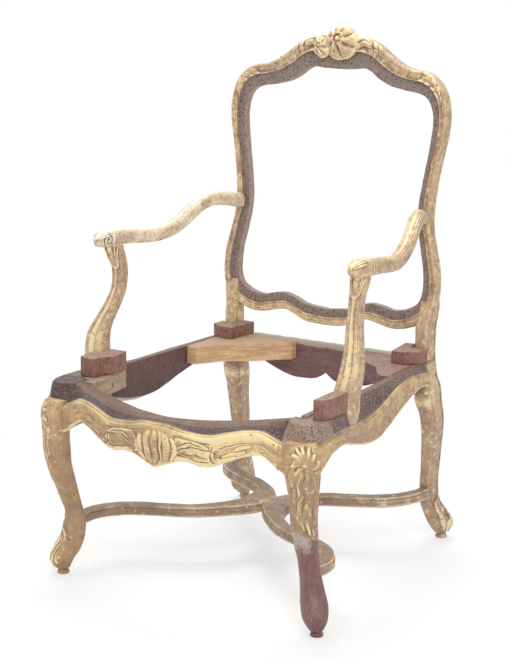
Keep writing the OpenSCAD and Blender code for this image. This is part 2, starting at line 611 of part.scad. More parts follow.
// Scarf where the near front leg has been given a new lower end
scarf_angle = 63;
scarf_turn = 33;
scarf_shares = [-0.67, -0.42, 0.56];
scarf_point = [front_foot.x + front_sway * scarf_shares.x, front_foot.y + front_sway * scarf_shares.y,
               knee_z * scarf_shares.z];
scarf_reach = 88;
module scarf_box() translate(scarf_point) rotate([0, 0, scarf_turn]) rotate([0, -scarf_angle, 0])
    translate([scarf_reach - knee_z, -knee_w, -knee_z]) cube([knee_z, 2 * knee_w, knee_z]);
dowel_l = 56;
dowel_d = 10;
dowel_way = [5, -19, 55];
module scarf_dowel(clear) rod(scarf_point - dowel_way / norm(dowel_way) * (dowel_l / 2 + clear),
    dowel_way, dowel_l + 2 * clear, dowel_d + 2 * clear);

// Front leg: head, curve and pad, with mortises for both rails
module front_leg_body() {
    skin([for (s = smooth(head_shares, curve_steps)) head_station(s)]);
    front_leg_curve();
    front_pad();
}
module front_leg_cuts() {
    front_tenon_box(fit);
    side_tenon_box(fit);
    front_peg(fit);
    side_peg(fit);
    stretcher_housings();
    stretcher_tenons(fit);
    ankle_pegs(fit);
}
module front_leg_left() { color(gilt) left() difference() { front_leg_body(); front_leg_cuts(); } }
module front_leg_right() { color(gilt) difference() {
    front_leg_body();
    front_leg_cuts();
    scarf_box();
    scarf_dowel(fit);
} }
module leg_splice() { color(bare_wood) difference() {
    intersection() {
        union() { front_leg_curve(); front_pad(); }
        scarf_box();
    }
    stretcher_housings();
    stretcher_tenons(fit);
    ankle_pegs(fit);
    scarf_dowel(fit);
} }
module splice_dowel() { color(peg_wood) scarf_dowel(0); }

// Rear leg: foot, leg, seat block, neck and the whole stile of the back
ear_shares = [0, 0.5, 1];
module rear_ear() skin([for (e = ear_shares)
    [for (p = side_station(side_stations[len(side_stations) - 1]))
        [mix(p.x, min(p.x, post.x + post_block.x / 2 - cut), e * e),
         rear_joint_y + (block_front_y + cut - rear_joint_y) * e, p.z]]]);
module rear_leg_body() {
    rear_leg_curve();
    box_at([post.x, post.y, seat_h - post_block.z / 2], post_block);
    rear_ear();
    foot_pad(rear_foot, seat_h * rear_leg_shares[len(rear_leg_shares) - 1][2]);
    on_back() {
        back_run(upper_seam * back_steps, lower_seam * back_steps, 1);
        at_seam(upper_seam) seam_tenon_solid();
    }
    arm_seat();
}
module rear_leg() difference() {
    rear_leg_body();
    rear_tenon_box(fit);
    back_tenon_box(fit);
    rear_peg(fit);
    back_rail_peg(fit);
    on_back() at_seam(upper_seam) back_peg(fit);
    on_back() at_seam(lower_seam) { seam_tenon_box(fit); back_peg(fit); }
    arm_tenon_box(fit);
    arm_peg(fit);
    stretcher_housings();
    stretcher_tenons(fit);
    ankle_pegs(fit);
}
module rear_leg_right() { color(gilt) rear_leg(); }
module rear_leg_left() { color(gilt) left() rear_leg(); }

// Crest rail with its shell, and the rail at the foot of the back
shell_size = [112, 19, 78];
shell_z = back_h - shell_size.z / 2 + shell_rise;
module crest_rail() { color(gilt) on_back() difference() {
    union() {
        back_arch(span(back_half, 0, upper_seam * back_steps));
        translate([0, rebate_d + cut, shell_z]) shell_boss(shell_size.x, shell_size.z, shell_size.y);
    }
    both() at_seam(upper_seam) { seam_tenon_box(fit); back_peg(fit); }
} }
module back_bottom_rail() { color(gilt) on_back() difference() {
    union() {
        back_arch(backward(span(back_half, lower_seam * back_steps, len(back_half) - 1)));
        both() at_seam(lower_seam) seam_tenon_solid();
    }
    both() at_seam(lower_seam) back_peg(fit);
} }

// Seat rails
module front_rail() { color(gilt) difference() {
    union() {
        skin(concat([for (s = backward(front_half)) front_station(s, -1)],
                    [for (s = span(front_half, 1, len(front_half) - 1)) front_station(s, 1)]));
        both() front_tenon_box(0);
        translate([0, front_y + front_shell.y, front_shell_z])
            shell_boss(front_shell.x, front_shell.z, front_shell.y);
    }
    both() front_peg(fit);
} }
front_shell = [92, 14, 74];
front_shell_z = seat_h - front_apron + front_shell.z / 2;
module side_rail() difference() {
    union() {
        skin([for (s = side_stations) side_station(s)]);
        side_tenon_box(0);
        rear_tenon_box(0);
    }
    side_peg(fit);
    rear_peg(fit);
    foot_notch();
    support_screw(fit);
    rear_nails(fit);
}
module foot_notch() translate([foot_center.x - support_foot.x / 2 - fit,
        support_y - support_foot.y / 2 - fit, foot_center.z - support_foot.z / 2 - fit])
    cube([support_foot.x * 2, support_foot.y + 2 * fit, support_foot.z * 2]);
module side_rail_right() { color(gilt) difference() {
    side_rail();
    front_nail_right(fit);
    right_nail_set(fit);
} }
module side_rail_left() { color(gilt) left() difference() {
    side_rail();
    front_nail_left(fit);
} }

// Back rail: shares of the half length and of the apron, cusped in the middle
back_rail_shares = [[0, 0.76], [0.10, 0.95], [0.21, 1.00], [0.32, 1.01], [0.43, 0.98],
                    [0.55, 0.88], [0.70, 0.72], [0.85, 0.60], [1.00, 0.56]];
module back_rail() { color(bare_wood) difference() {
    union() {
        translate([0, back_rail_y + back_rail_t, 0]) rotate([90, 0, 0])
            linear_extrude(back_rail_t) back_rail_outline();
        both() back_tenon_box(0);
    }
    both() back_rail_peg(fit);
    both() rear_nails(fit);
} }
module back_rail_outline() {
    half = [for (s = back_rail_shares) [s[0] * rear_joint_x, seat_h - side_apron * s[1]]];
    polygon(concat([[-rear_joint_x, seat_h], [rear_joint_x, seat_h]], backward(half),
                   [for (p = span(half, 1, len(half) - 1)) [-p.x, p.y]]));
}

// Arms and their supports
module arm() difference() {
    union() {
        difference() {
            arm_curve();
            on_back() cube([back_w, back_w, back_h]);
        }
        arm_tenon_box(0);
    }
    arm_peg(fit);
    box_at([support_top.x, support_top.y, support_top.z - arm_w], [2, 2, 2] * arm_w);
    support_tenon_box(fit);
    support_peg(fit);
}
module support_tenon_box(by)
    grow_box([support_top.x, support_top.y, support_top.z + support_tenon.z / 2 - cut],
             support_tenon + [0, 0, cut], by);
module support_peg(clear) rod(
    [support_top.x + support_peg_l / 2 + clear, support_top.y, support_top.z + support_peg_rise],
    [-1, 0, 0], support_peg_l + 2 * clear, arm_peg_d + 2 * clear);
module arm_right() { color(gilt) arm(); }
module arm_left() { color(gilt) left() arm(); }
module support() difference() {
    union() {
        support_curve();
        box_at(foot_center, support_foot);
        support_tenon_box(0);
    }
    support_peg(fit);
    support_screw(fit);
}
module arm_support_right() { color(gilt) support(); }
module arm_support_left() { color(gilt) left() support(); }

// Stretcher curves, glued back to back in the middle and pegged
module stretcher() difference() {
    union() {
        difference() {
            skin([for (i = [0 : len(stretcher_stations) - 1])
                let (s = stretcher_stations[i],
                     to = stretcher_point(pick(stretcher_stations, i + 1))
                        - stretcher_point(pick(stretcher_stations, i - 1)))
                slab_ring(stretcher_point(s), to, stretcher_w * s[2])]);
            translate([-seat_front_w, -overall_d, 0]) cube([seat_front_w, 2 * overall_d, seat_h]);
            translate([0, front_housing_y - knee_w * 2, 0]) cube([seat_front_w, knee_w * 2, seat_h]);
            translate([0, rear_housing_y, 0]) cube([seat_front_w, knee_w * 2, seat_h]);
        }
        stretcher_tenons(0);
    }
    waist_pegs(fit);
    ankle_pegs(fit);
}
module stretcher_right() { color(dirty_gilt) stretcher(); }
module stretcher_left() { color(dirty_gilt) left() stretcher(); }

// Corner braces, flush with the rails' tops
front_in_shares = [for (s = front_half) [s[0], s[2]]];
function front_in_y(x) = front_face_y + rail_t - front_inner_bow * lookup(x / corner_x, front_in_shares);
brace_end_t = 23;
front_brace_end = 24;
front_brace_reach = 104;
front_brace_waist_share = 0.45;
slim_brace_set = 4;
// Shares of the way from the corner back to the support's foot: the near and the
// deep end of the wide brace's slope, and the nail between them
foot_front_y = support_y - support_foot.y / 2;
front_brace_near_share = 0.484;
front_brace_deep_share = 0.811;
front_nail_share = 0.72;
front_brace_near_y = mix(corner_y, foot_front_y, front_brace_near_share);
front_brace_deep_y = mix(corner_y, foot_front_y, front_brace_deep_share);
front_nail_y = mix(corner_y, foot_front_y, front_nail_share);
front_brace_end_x = corner_x - front_brace_end;
function front_brace_deep_x() =
    mix(side_in_x(corner_y + front_brace_reach) - brace_end_t, front_brace_end_x, front_brace_waist_share);
module brace(outline) translate([0, 0, seat_h - brace_h]) linear_extrude(brace_h) polygon(outline);
module front_brace() {
    far = corner_y + front_brace_reach;
    brace([[front_brace_end_x, front_in_y(front_brace_end_x) + 2 * gap],
           [corner_x - gap, front_in_y(corner_x) + 2 * gap],
           [corner_x - gap, corner_y + gap],
           [side_in_x(corner_y) - gap, corner_y + gap],
           [side_in_x(far) - gap, far],
           [side_in_x(far) - brace_end_t, far],
           [front_brace_deep_x(), front_brace_deep_y],
           [front_brace_end_x, front_brace_near_y]]);
}
// The one at the near corner is slimmer and stays behind the arm support
module slim_brace() {
    far = corner_y + front_brace_reach;
    brace([[corner_x + slim_brace_set, corner_y + gap],
           [side_in_x(corner_y) - gap, corner_y + gap],
           [side_in_x(far) - gap, far],
           [side_in_x(far) - brace_end_t, far],
           [corner_x + slim_brace_set, front_brace_deep_y]]);
}
rear_brace_reach = 141;
rear_brace_end_x = 71;
rear_brace_end_t = 18;
// The hollow of the brace's front: shares of the way across and of the way back
rear_brace_hollow_shares = [[0.4, 0.52], [0.7, 0.32]];
module rear_brace() {
    near = rear_joint_y - rear_brace_reach;
    inside = side_in_x(block_front_y) - gap;
    hollow = [for (s = rear_brace_hollow_shares)
        [mix(rear_brace_end_x, inside, s[0]), mix(near, back_rail_y, s[1])]];
    brace(concat([[side_in_x(near) - brace_end_t, near],
                  [side_in_x(near) - gap, near],
                  [inside, block_front_y - gap],
                  [rear_joint_x - gap, block_front_y - gap],
                  [rear_joint_x - gap, back_rail_y - gap],
                  [rear_brace_end_x, back_rail_y - gap],
                  [rear_brace_end_x, back_rail_y - rear_brace_end_t]], hollow));
}
nail_d = 3;
brace_nail_l = 44;
brace_nail_head = [7, 1.5];
// Each brace is nailed level into the rails that it lies against
module brace_nail(from, along, clear) {
    from_cut = from - along * (clear > 0 ? cut : 0);
    rod(from_cut, along, brace_nail_l + clear + (clear > 0 ? cut : 0), nail_d + 2 * clear);
    rod(from_cut, along, brace_nail_head.y + (clear > 0 ? cut : 0), brace_nail_head.x + 2 * clear);
}
brace_nail_inset = 14;
brace_nail_sink = 4;
function brace_nail_z() = seat_h - brace_h / 2;
module front_nail(x, clear)
    brace_nail([x, front_nail_y, brace_nail_z()], [1, 0, 0], clear);
// The left one starts on the slope of its brace
front_nail_left_share = (front_nail_share - front_brace_near_share)
    / (front_brace_deep_share - front_brace_near_share);
module front_nail_left(clear)
    front_nail(mix(front_brace_end_x, front_brace_deep_x(), front_nail_left_share), clear);
module front_nail_right(clear) front_nail(corner_x + slim_brace_set, clear);
module rear_nails(clear) {
    near = rear_joint_y - rear_brace_reach;
    brace_nail([side_in_x(near) - brace_end_t + brace_nail_sink, near + brace_nail_inset, brace_nail_z()],
               [1, 0, 0], clear);
    brace_nail([rear_brace_end_x + brace_nail_inset, back_rail_y - rear_brace_end_t - brace_nail_sink,
                brace_nail_z()], [0, 1, 0], clear);
}
module front_brace_right() { color(dirty_gilt) difference() {
    slim_brace();
    front_nail_right(fit);
} }
module front_brace_left() { color(new_wood) left() difference() {
    front_brace();
    front_nail_left(fit);
    left_nail_set(fit);
} }
module nailed_rear_brace() difference() {
    rear_brace();
    rear_nails(fit);
    left_nail_set(fit);
}
module rear_brace_right() { color(dirty_gilt) nailed_rear_brace(); }
module rear_brace_left() { color(new_wood) left() nailed_rear_brace(); }

// Tacking blocks on the seat frame: outlines as shares of the support's foot
// round the arm support, and of the seat block round the back post
left_block_shares = [[-0.10, -1.57], [-0.70, -1.72], [-1.11, -1.72], [-1.20, -1.18], [-1.58, -0.73],
                     [-1.46, 0.33], [-0.44, 0.33], [-0.44, -0.54], [-0.02, -0.54]];
right_block_shares = [[-0.05, -2.36], [0.42, -2.20], [0.60, -1.90], [0.60, -0.54], [-0.10, -0.54]];
rear_block_shares = [[-0.90, -1.87], [-0.15, -1.79], [0.50, -1.40], [0.50, -0.54], [-0.48, -0.54],
                     [-0.48, 0.20], [-1.13, 0.20]];
block_nail_l = 60;
// Nails of the front blocks: shares of the support's foot across, and of the way
// from the foot's front to the corner
left_block_nail_share = [-0.90, 0.481];
right_block_nail_share = [0.25, 0.687];
rear_block_nail_share = [-0.10, -1.15];
function front_block_at(s) = [support_x + support_foot.x * s[0], support_y + support_foot.y * s[1]];
function front_block_nail_at(s) =
    [support_x + support_foot.x * s[0], mix(foot_front_y, corner_y, s[1])];
function rear_block_at(s) = [post.x + post_block.x * s[0], post.y + post_block.y * s[1]];
module tack_block(outline, h) translate([0, 0, seat_h]) linear_extrude(h) polygon(outline);
module block_nail(at, top, clear) rod([at.x, at.y, seat_h + top + (clear > 0 ? cut : 0)],
    [0, 0, -1], block_nail_l + clear + (clear > 0 ? cut : 0), nail_d + 2 * clear);
// Nails of the left blocks and of the right ones, both named for the right side
module left_nail_set(clear) {
    block_nail(front_block_nail_at(left_block_nail_share), block_h, clear);
    block_nail(rear_block_at(rear_block_nail_share), rear_block_h, clear);
}
module right_nail_set(clear) {
    block_nail(front_block_nail_at(right_block_nail_share), block_h, clear);
    block_nail(rear_block_at(rear_block_nail_share), rear_block_h, clear);
}
module front_block_right() { color(block_wood) difference() {
    tack_block([for (s = right_block_shares) front_block_at(s)], block_h);
    right_nail_set(fit);
} }
module front_block_left() { color(block_wood) left() difference() {
    tack_block([for (s = left_block_shares) front_block_at(s)], block_h);
    left_nail_set(fit);
} }
module rear_block() difference() {
    tack_block([for (s = rear_block_shares) rear_block_at(s)], rear_block_h);
    left_nail_set(fit);
}
module rear_block_right() { color(block_wood) rear_block(); }
module rear_block_left() { color(block_wood) left() rear_block(); }

// Pegs, screws and nails, each kind a group of separate solids
module back_frame_pegs() { color(peg_wood) both() on_back() {
    at_seam(upper_seam) back_peg(0);
    at_seam(lower_seam) back_peg(0);
} }
module seat_frame_pegs() { color(peg_wood) both() {
    front_peg(0);
    side_peg(0);
    rear_peg(0);
    back_rail_peg(0);
} }
module arm_pegs() { color(peg_wood) both() { arm_peg(0); support_peg(0); } }
module stretcher_pegs() { color(peg_wood) { both() ankle_pegs(0); waist_pegs(0); } }
module support_screws() { color(steel) both() support_screw(0); }
module brace_nails() { color(steel) {
    both() rear_nails(0);
    front_nail_right(0);
    left() front_nail_left(0);
} }
module block_nails() { color(steel) { right_nail_set(0); left() left_nail_set(0); } }

crest_rail();
back_bottom_rail();
rear_leg_left();
rear_leg_right();
front_rail();
back_rail();
side_rail_left();
side_rail_right();
front_leg_left();
front_leg_right();
leg_splice();
splice_dowel();
arm_left();
arm_right();
arm_support_left();
arm_support_right();
stretcher_left();
stretcher_right();
front_brace_left();
front_brace_right();
rear_brace_left();
rear_brace_right();
front_block_left();
front_block_right();
rear_block_left();
rear_block_right();
back_frame_pegs();
seat_frame_pegs();
arm_pegs();
stretcher_pegs();
support_screws();
brace_nails();
block_nails();
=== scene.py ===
"""Armchair frame of worn giltwood, without its upholstery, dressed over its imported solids.

All shapes are worked out in millimetres, in the chair's own frame: X to the right as seen from
the front, Y to the back, Z up. A surface is a grid of points, rows along the piece and columns
round its section, and carving moves the points along the surface's own facing.
"""
import math

import bpy
import numpy as np
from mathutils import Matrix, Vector


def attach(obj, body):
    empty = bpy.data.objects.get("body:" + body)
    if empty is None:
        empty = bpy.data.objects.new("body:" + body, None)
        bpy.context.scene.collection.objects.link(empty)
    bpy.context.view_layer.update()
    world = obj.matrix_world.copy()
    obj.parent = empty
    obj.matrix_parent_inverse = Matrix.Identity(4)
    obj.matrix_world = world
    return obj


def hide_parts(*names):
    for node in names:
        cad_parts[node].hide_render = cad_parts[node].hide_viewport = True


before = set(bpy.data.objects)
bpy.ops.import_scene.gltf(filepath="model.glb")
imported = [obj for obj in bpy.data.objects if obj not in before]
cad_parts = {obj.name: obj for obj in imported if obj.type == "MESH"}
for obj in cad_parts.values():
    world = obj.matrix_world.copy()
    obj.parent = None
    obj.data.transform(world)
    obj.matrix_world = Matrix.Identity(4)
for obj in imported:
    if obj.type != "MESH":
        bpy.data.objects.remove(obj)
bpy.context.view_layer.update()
MM = 0.001


# Shapes in numbers

def mix(a, b, t):
    """The value a share t of the way from a to b."""
    return a + (b - a) * t


def ramp(x, low, high):
    """0 below low and 1 above high, with a soft S between them."""
    t = np.clip((x - low) / (high - low), 0, 1)
    return t * t * (3 - 2 * t)


def window(x, low, high, soft):
    """1 between low and high, and 0 outside, over a soft edge."""
    return ramp(x, low - soft, low) * (1 - ramp(x, high, high + soft))


def power(v, p):
    """A power that keeps the sign."""
    return np.sign(v) * np.abs(v) ** p


def curve(rows, steps):
    """Points between the rows of a table, on the cubic that passes through all of them:
    half of 2b + (c-a)t + (2a-5b+4c-d)t2 + (3b-a-3c+d)t3, for four neighbours a, b, c and d."""
    rows = np.asarray(rows, float)
    t = np.linspace(0, len(rows) - 1, (len(rows) - 1) * steps + 1)
    i = np.minimum(t.astype(int), len(rows) - 2)
    f = (t - i)[:, None]
    a, b, c, d = (rows[np.clip(i + k, 0, len(rows) - 1)] for k in (-1, 0, 1, 2))
    return 0.5 * (2 * b + (c - a) * f + (2 * a - 5 * b + 4 * c - d) * f**2
                  + (3 * b - a - 3 * c + d) * f**3)


def round_angles(count):
    """One row of angles once round, in count equal steps."""
    return np.linspace(0, 2 * math.pi, count + 1)[:-1][None]


def angle_from(turn, at):
    """The angle from at to turn, at most half a turn either way."""
    return (turn - at + math.pi) % (2 * math.pi) - math.pi


def length_along(points):
    """Distance run along a row of points."""
    steps = np.linalg.norm(np.diff(points, axis=0), axis=1)
    return np.concatenate([[0], np.cumsum(steps)])


def crossed(p):
    """The step along a tube crossed with the step round it, at each of its points."""
    along = np.gradient(p, axis=0)
    around = np.roll(p, -1, 1) - np.roll(p, 1, 1)
    return np.cross(along, around)


def facing(p):
    """Unit outward direction at each point of a closed tube: the step along it crossed with the
    step round it, turned so that it points away from the middle of each ring."""
    n = crossed(p)
    n = n / (np.linalg.norm(n, axis=2, keepdims=True) + 1e-9)
    return n * np.sign((n * (p - p.mean(1, keepdims=True))).sum())


def blurred(p, reach):
    """Each point's average with its neighbours, reach steps each way, round and then along."""
    out = sum(np.roll(p, k, 1) for k in range(-reach, reach + 1)) / (2 * reach + 1)
    rows = np.arange(len(p))
    return sum(out[np.clip(rows + k, 0, len(p) - 1)] for k in range(-reach, reach + 1)) / (2 * reach + 1)


def wobble(p, size, seed):
    """Smooth waves in space, mostly between -1 and 1 and about size long, as hand work leaves."""
    draw = np.random.default_rng(seed)
    total = 0
    for _ in range(5):
        way = draw.normal(size=3)
        way = way / np.linalg.norm(way) * 2 * math.pi / size * draw.uniform(0.6, 1.6)
        total = total + np.sin(p @ way + draw.uniform(0, 6.28))
    return total / 3.2


def worked(p, rough, size, seed, relief=0.0):
    """A tube whose surface is moved out by its relief and by the unevenness of hand work: rough
    is how deep it goes, and size about how long its waves are."""
    return p + facing(p) * (relief + rough * wobble(p, size, seed))[..., None]


def section(corners, counts, rounds):
    """A closed section through corner points, the k-th side cut in counts[k] steps, and its
    edges rounded by averaging each point with its two neighbours, rounds times. Also gives each
    column's place round the section, as the side's number and the share of the side."""
    after = np.roll(corners, -1, 1)
    p = np.concatenate([
        corners[:, [k]] + (after - corners)[:, [k]] * (np.arange(c) / c)[None, :, None]
        for k, c in enumerate(counts)], axis=1)
    side = np.concatenate([k + np.arange(c) / c for k, c in enumerate(counts)])
    for _ in range(rounds):
        p = 0.25 * np.roll(p, 1, 1) + 0.5 * p + 0.25 * np.roll(p, -1, 1)
    return p, side


def groove(x, at, width, depth):
    """A cut with a bell-shaped section, at one value of x."""
    return -depth * np.exp(-((x - at) / width) ** 2)


def lobes(u, v, rows):
    """Carved leaf lobes laid over one another. A row holds a lobe's root, its tip, the bulge of
    its axis to the left, its half width and its height. A lobe is round across, swells from its
    root and closes towards its tip, and where lobes meet the higher one shows."""
    height = 0 * (u + v)
    for u0, v0, u1, v1, bulge, half, high in rows:
        du, dv = u1 - u0, v1 - v0
        span = math.hypot(du, dv)
        t = ((u - u0) * du + (v - v0) * dv) / span**2
        off = ((v - v0) * du - (u - u0) * dv) / span - 4 * bulge * np.clip(t, 0, 1) * (1 - np.clip(t, 0, 1))
        wide = half * np.sqrt(np.clip(1 - ((t - 0.42) / 0.58) ** 2, 1e-6, 1))
        height = np.maximum(height, high * np.clip(1 - (off / wide) ** 2, 0, 1) ** 0.7)
    return height


def slit(u, v, u0, v0, u1, v1, bulge, width, depth):
    """A cut along an arc between two points, bulging to its left, that fades at both ends."""
    du, dv = u1 - u0, v1 - v0
    span = math.hypot(du, dv)
    t = np.clip(((u - u0) * du + (v - v0) * dv) / span**2, -0.2, 1.2)
    off = ((v - v0) * du - (u - u0) * dv) / span - 4 * bulge * t * (1 - t)
    return groove(off, 0, width, depth) * window(t, 0.08, 0.92, 0.1)


def leaf_work(u, v, leaves, cuts):
    """The relief of a table of lobes with a table of slits cut into it."""
    return lobes(u, v, leaves) + sum(slit(u, v, *row) for row in cuts)


# Meshes

def tube_mesh(p, turned):
    """Faces of one closed tube: four-sided ones between its rings, and a fan of triangles to
    the middle of the ring at each end. Turned ones run the other way round."""
    n, m = p.shape[:2]
    i, j = np.meshgrid(np.arange(n - 1), np.arange(m), indexing="ij")
    k = (j + 1) % m
    quads = np.stack([i * m + j, (i + 1) * m + j, (i + 1) * m + k, i * m + k], -1).reshape(-1, 4)
    ring, after = np.arange(m), (np.arange(m) + 1) % m
    first = np.stack([ring, after, np.full(m, n * m)], -1)
    last = np.stack([(n - 1) * m + after, (n - 1) * m + ring, np.full(m, n * m + 1)], -1)
    tris = np.concatenate([first, last])
    if turned:
        quads, tris = quads[:, ::-1], tris[:, ::-1]
    return quads, tris


def tube(p, gilt=1.0, tack=0.0, bright=0.0):
    """One closed tube and its finishing values at each point: gilt is 1 where gold was laid,
    hollow is high in the cuts, the arris value is high on the arrises and raised by bright, and
    gives rubbed gold there with a painted highlight over it, tack is 1 in
    bands of tack holes and lay holds the distance along and round."""
    n = facing(p)
    fine, broad = blurred(p, 2), blurred(p, 5)
    curl = ((fine - p) * n).sum(2) * 1.6 + ((broad - p) * n).sum(2) * 0.45
    curl = curl - np.median(curl)
    # Painted highlight: the arris value marks convex edges, where a pale coat stands for light catching
    # them as well as for rubbed gold
    hollow, rub_and_highlight = np.clip(curl / 1.3, 0, 1), np.clip(bright - curl / 1.2, 0, 1)
    along = length_along(p.mean(1))[:, None] + 0 * p[..., 0]
    around = np.cumsum(np.linalg.norm(p - np.roll(p, 1, 1), axis=2), axis=1)
    full = np.ones(p.shape[:2])
    layers = {"gilt": full * gilt, "hollow": hollow, "rub_and_highlight": rub_and_highlight, "tack": full * tack,
              "lay": np.stack([along, around, 0 * along], -1) * MM}
    ends = [p[0].mean(0), p[-1].mean(0)]
    verts = np.concatenate([p.reshape(-1, 3), ends])
    flat = {}
    for key, value in layers.items():
        tail = value.reshape(len(p), p.shape[1], -1)
        edge = np.stack([tail[0].mean(0), tail[-1].mean(0)])
        flat[key] = np.concatenate([tail.reshape(-1, tail.shape[2]), edge])
    inside_out = (crossed(p) * (p - p.mean(1, keepdims=True))).sum() < 0
    quads, tris = tube_mesh(p, inside_out)
    return verts, quads, tris, flat


def linked(name, data):
    """A new object in the scene for a mesh, a lamp or a camera."""
    made = bpy.data.objects.new(name, data)
    bpy.context.scene.collection.objects.link(made)
    return made


def placed(name, mesh, finish, node):
    """A Blender object with one mesh and finish, riding on the frame and standing for a CAD node."""
    mesh.materials.append(finish)
    made = linked(name, mesh)
    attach(made, "root")
    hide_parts(node)
    return made


def piece(node, ending, tubes, finish):
    """A Blender object made of closed tubes, named after the CAD node that it stands for."""
    name = node + "_" + ending
    verts, polys, sizes, start = [], [], [], 0
    for v, quads, tris, _ in tubes:
        verts.append(v)
        polys += [(quads + start).ravel(), (tris + start).ravel()]
        sizes += [np.full(len(quads), 4), np.full(len(tris), 3)]
        start += len(v)
    verts = np.concatenate(verts) * MM
    corners, totals = np.concatenate(polys), np.concatenate(sizes)
    mesh = bpy.data.meshes.new(name)
    mesh.vertices.add(len(verts))
    mesh.vertices.foreach_set("co", verts.astype(np.float32).ravel())
    mesh.loops.add(len(corners))
    mesh.loops.foreach_set("vertex_index", corners.astype(np.int32))
    mesh.polygons.add(len(totals))
    mesh.polygons.foreach_set("loop_start", (np.cumsum(totals) - totals).astype(np.int32))
    mesh.polygons.foreach_set("loop_total", totals.astype(np.int32))
    mesh.polygons.foreach_set("use_smooth", np.ones(len(totals), bool))
    for key in ("gilt", "hollow", "rub_and_highlight", "tack", "lay"):
        kind, field = ("FLOAT_VECTOR", "vector") if key == "lay" else ("FLOAT", "value")
        layer = mesh.attributes.new(key, kind, "POINT")
        layer.data.foreach_set(field, np.concatenate([t[3][key] for t in tubes]).astype(np.float32).ravel())
    mesh.update(calc_edges=True)
    placed(name, mesh, finish, node)


def mirrored(p):
    """The same shape on the chair's other side."""
    return p * np.array([-1, 1, 1])


# Finishes

def colour(code):
    """A hex colour as Blender's linear values."""
    v = np.array([int(code[i:i + 2], 16) for i in (1, 3, 5)]) / 255
    v = np.where(v <= 0.04045, v / 12.92, ((v + 0.055) / 1.055) ** 2.4)
    return (*v, 1.0)


def add(tree, kind, links=None, out=0, **settings):
    """Adds a node with its settings and with a value or a socket for each of its inputs, and
    gives one of its outputs."""
    node = tree.nodes.new(kind)
    for key, value in settings.items():
        setattr(node, key, value)
    for key, value in (links or {}).items():
        if isinstance(value, bpy.types.NodeSocket):
            tree.links.new(value, node.inputs[key])
        else:
            node.inputs[key].default_value = value
    return node.outputs[out]


def new_finish(name, roughness, metallic=0.0):
    """A new finish, its shader and the place on the chair that its patterns read."""
    made = bpy.data.materials.new(name)
    made.use_nodes = True
    shader = made.node_tree.nodes["Principled BSDF"]
    shader.inputs["Roughness"].default_value = roughness
    shader.inputs["Metallic"].default_value = metallic
    return made, made.node_tree, shader, add(made.node_tree, "ShaderNodeTexCoord", out="Object")


def coated(tree, below, coats):
    """The colour below with coats laid over it in turn. A coat's row holds a value, where in it the
    coat begins and where it is full, how much the full coat covers, and its tint."""
    for value, begins, full, most, tint in coats:
        cover = add(tree, "ShaderNodeMapRange", {0: value, 1: begins, 2: full, 3: 0.0, 4: most},
                    interpolation_type="SMOOTHSTEP")
        tint = colour(tint) if isinstance(tint, str) else tint
        below = add(tree, "ShaderNodeMix", {0: cover, 6: below, 7: tint}, 2, data_type="RGBA")
    return below


def finished(tree, shader, shown, relief):
    """Gives the shader its colour, and cuts or raises the surface by each value in relief, as
    deep as the millimetres beside it."""
    tree.links.new(shown, shader.inputs["Base Color"])
    normal = None
    for value, depth_mm in relief:
        links = {"Height": value, "Distance": depth_mm * MM, "Strength": 1.0}
        normal = add(tree, "ShaderNodeBump", links if normal is None else {**links, "Normal": normal})
    tree.links.new(normal, shader.inputs["Normal"])


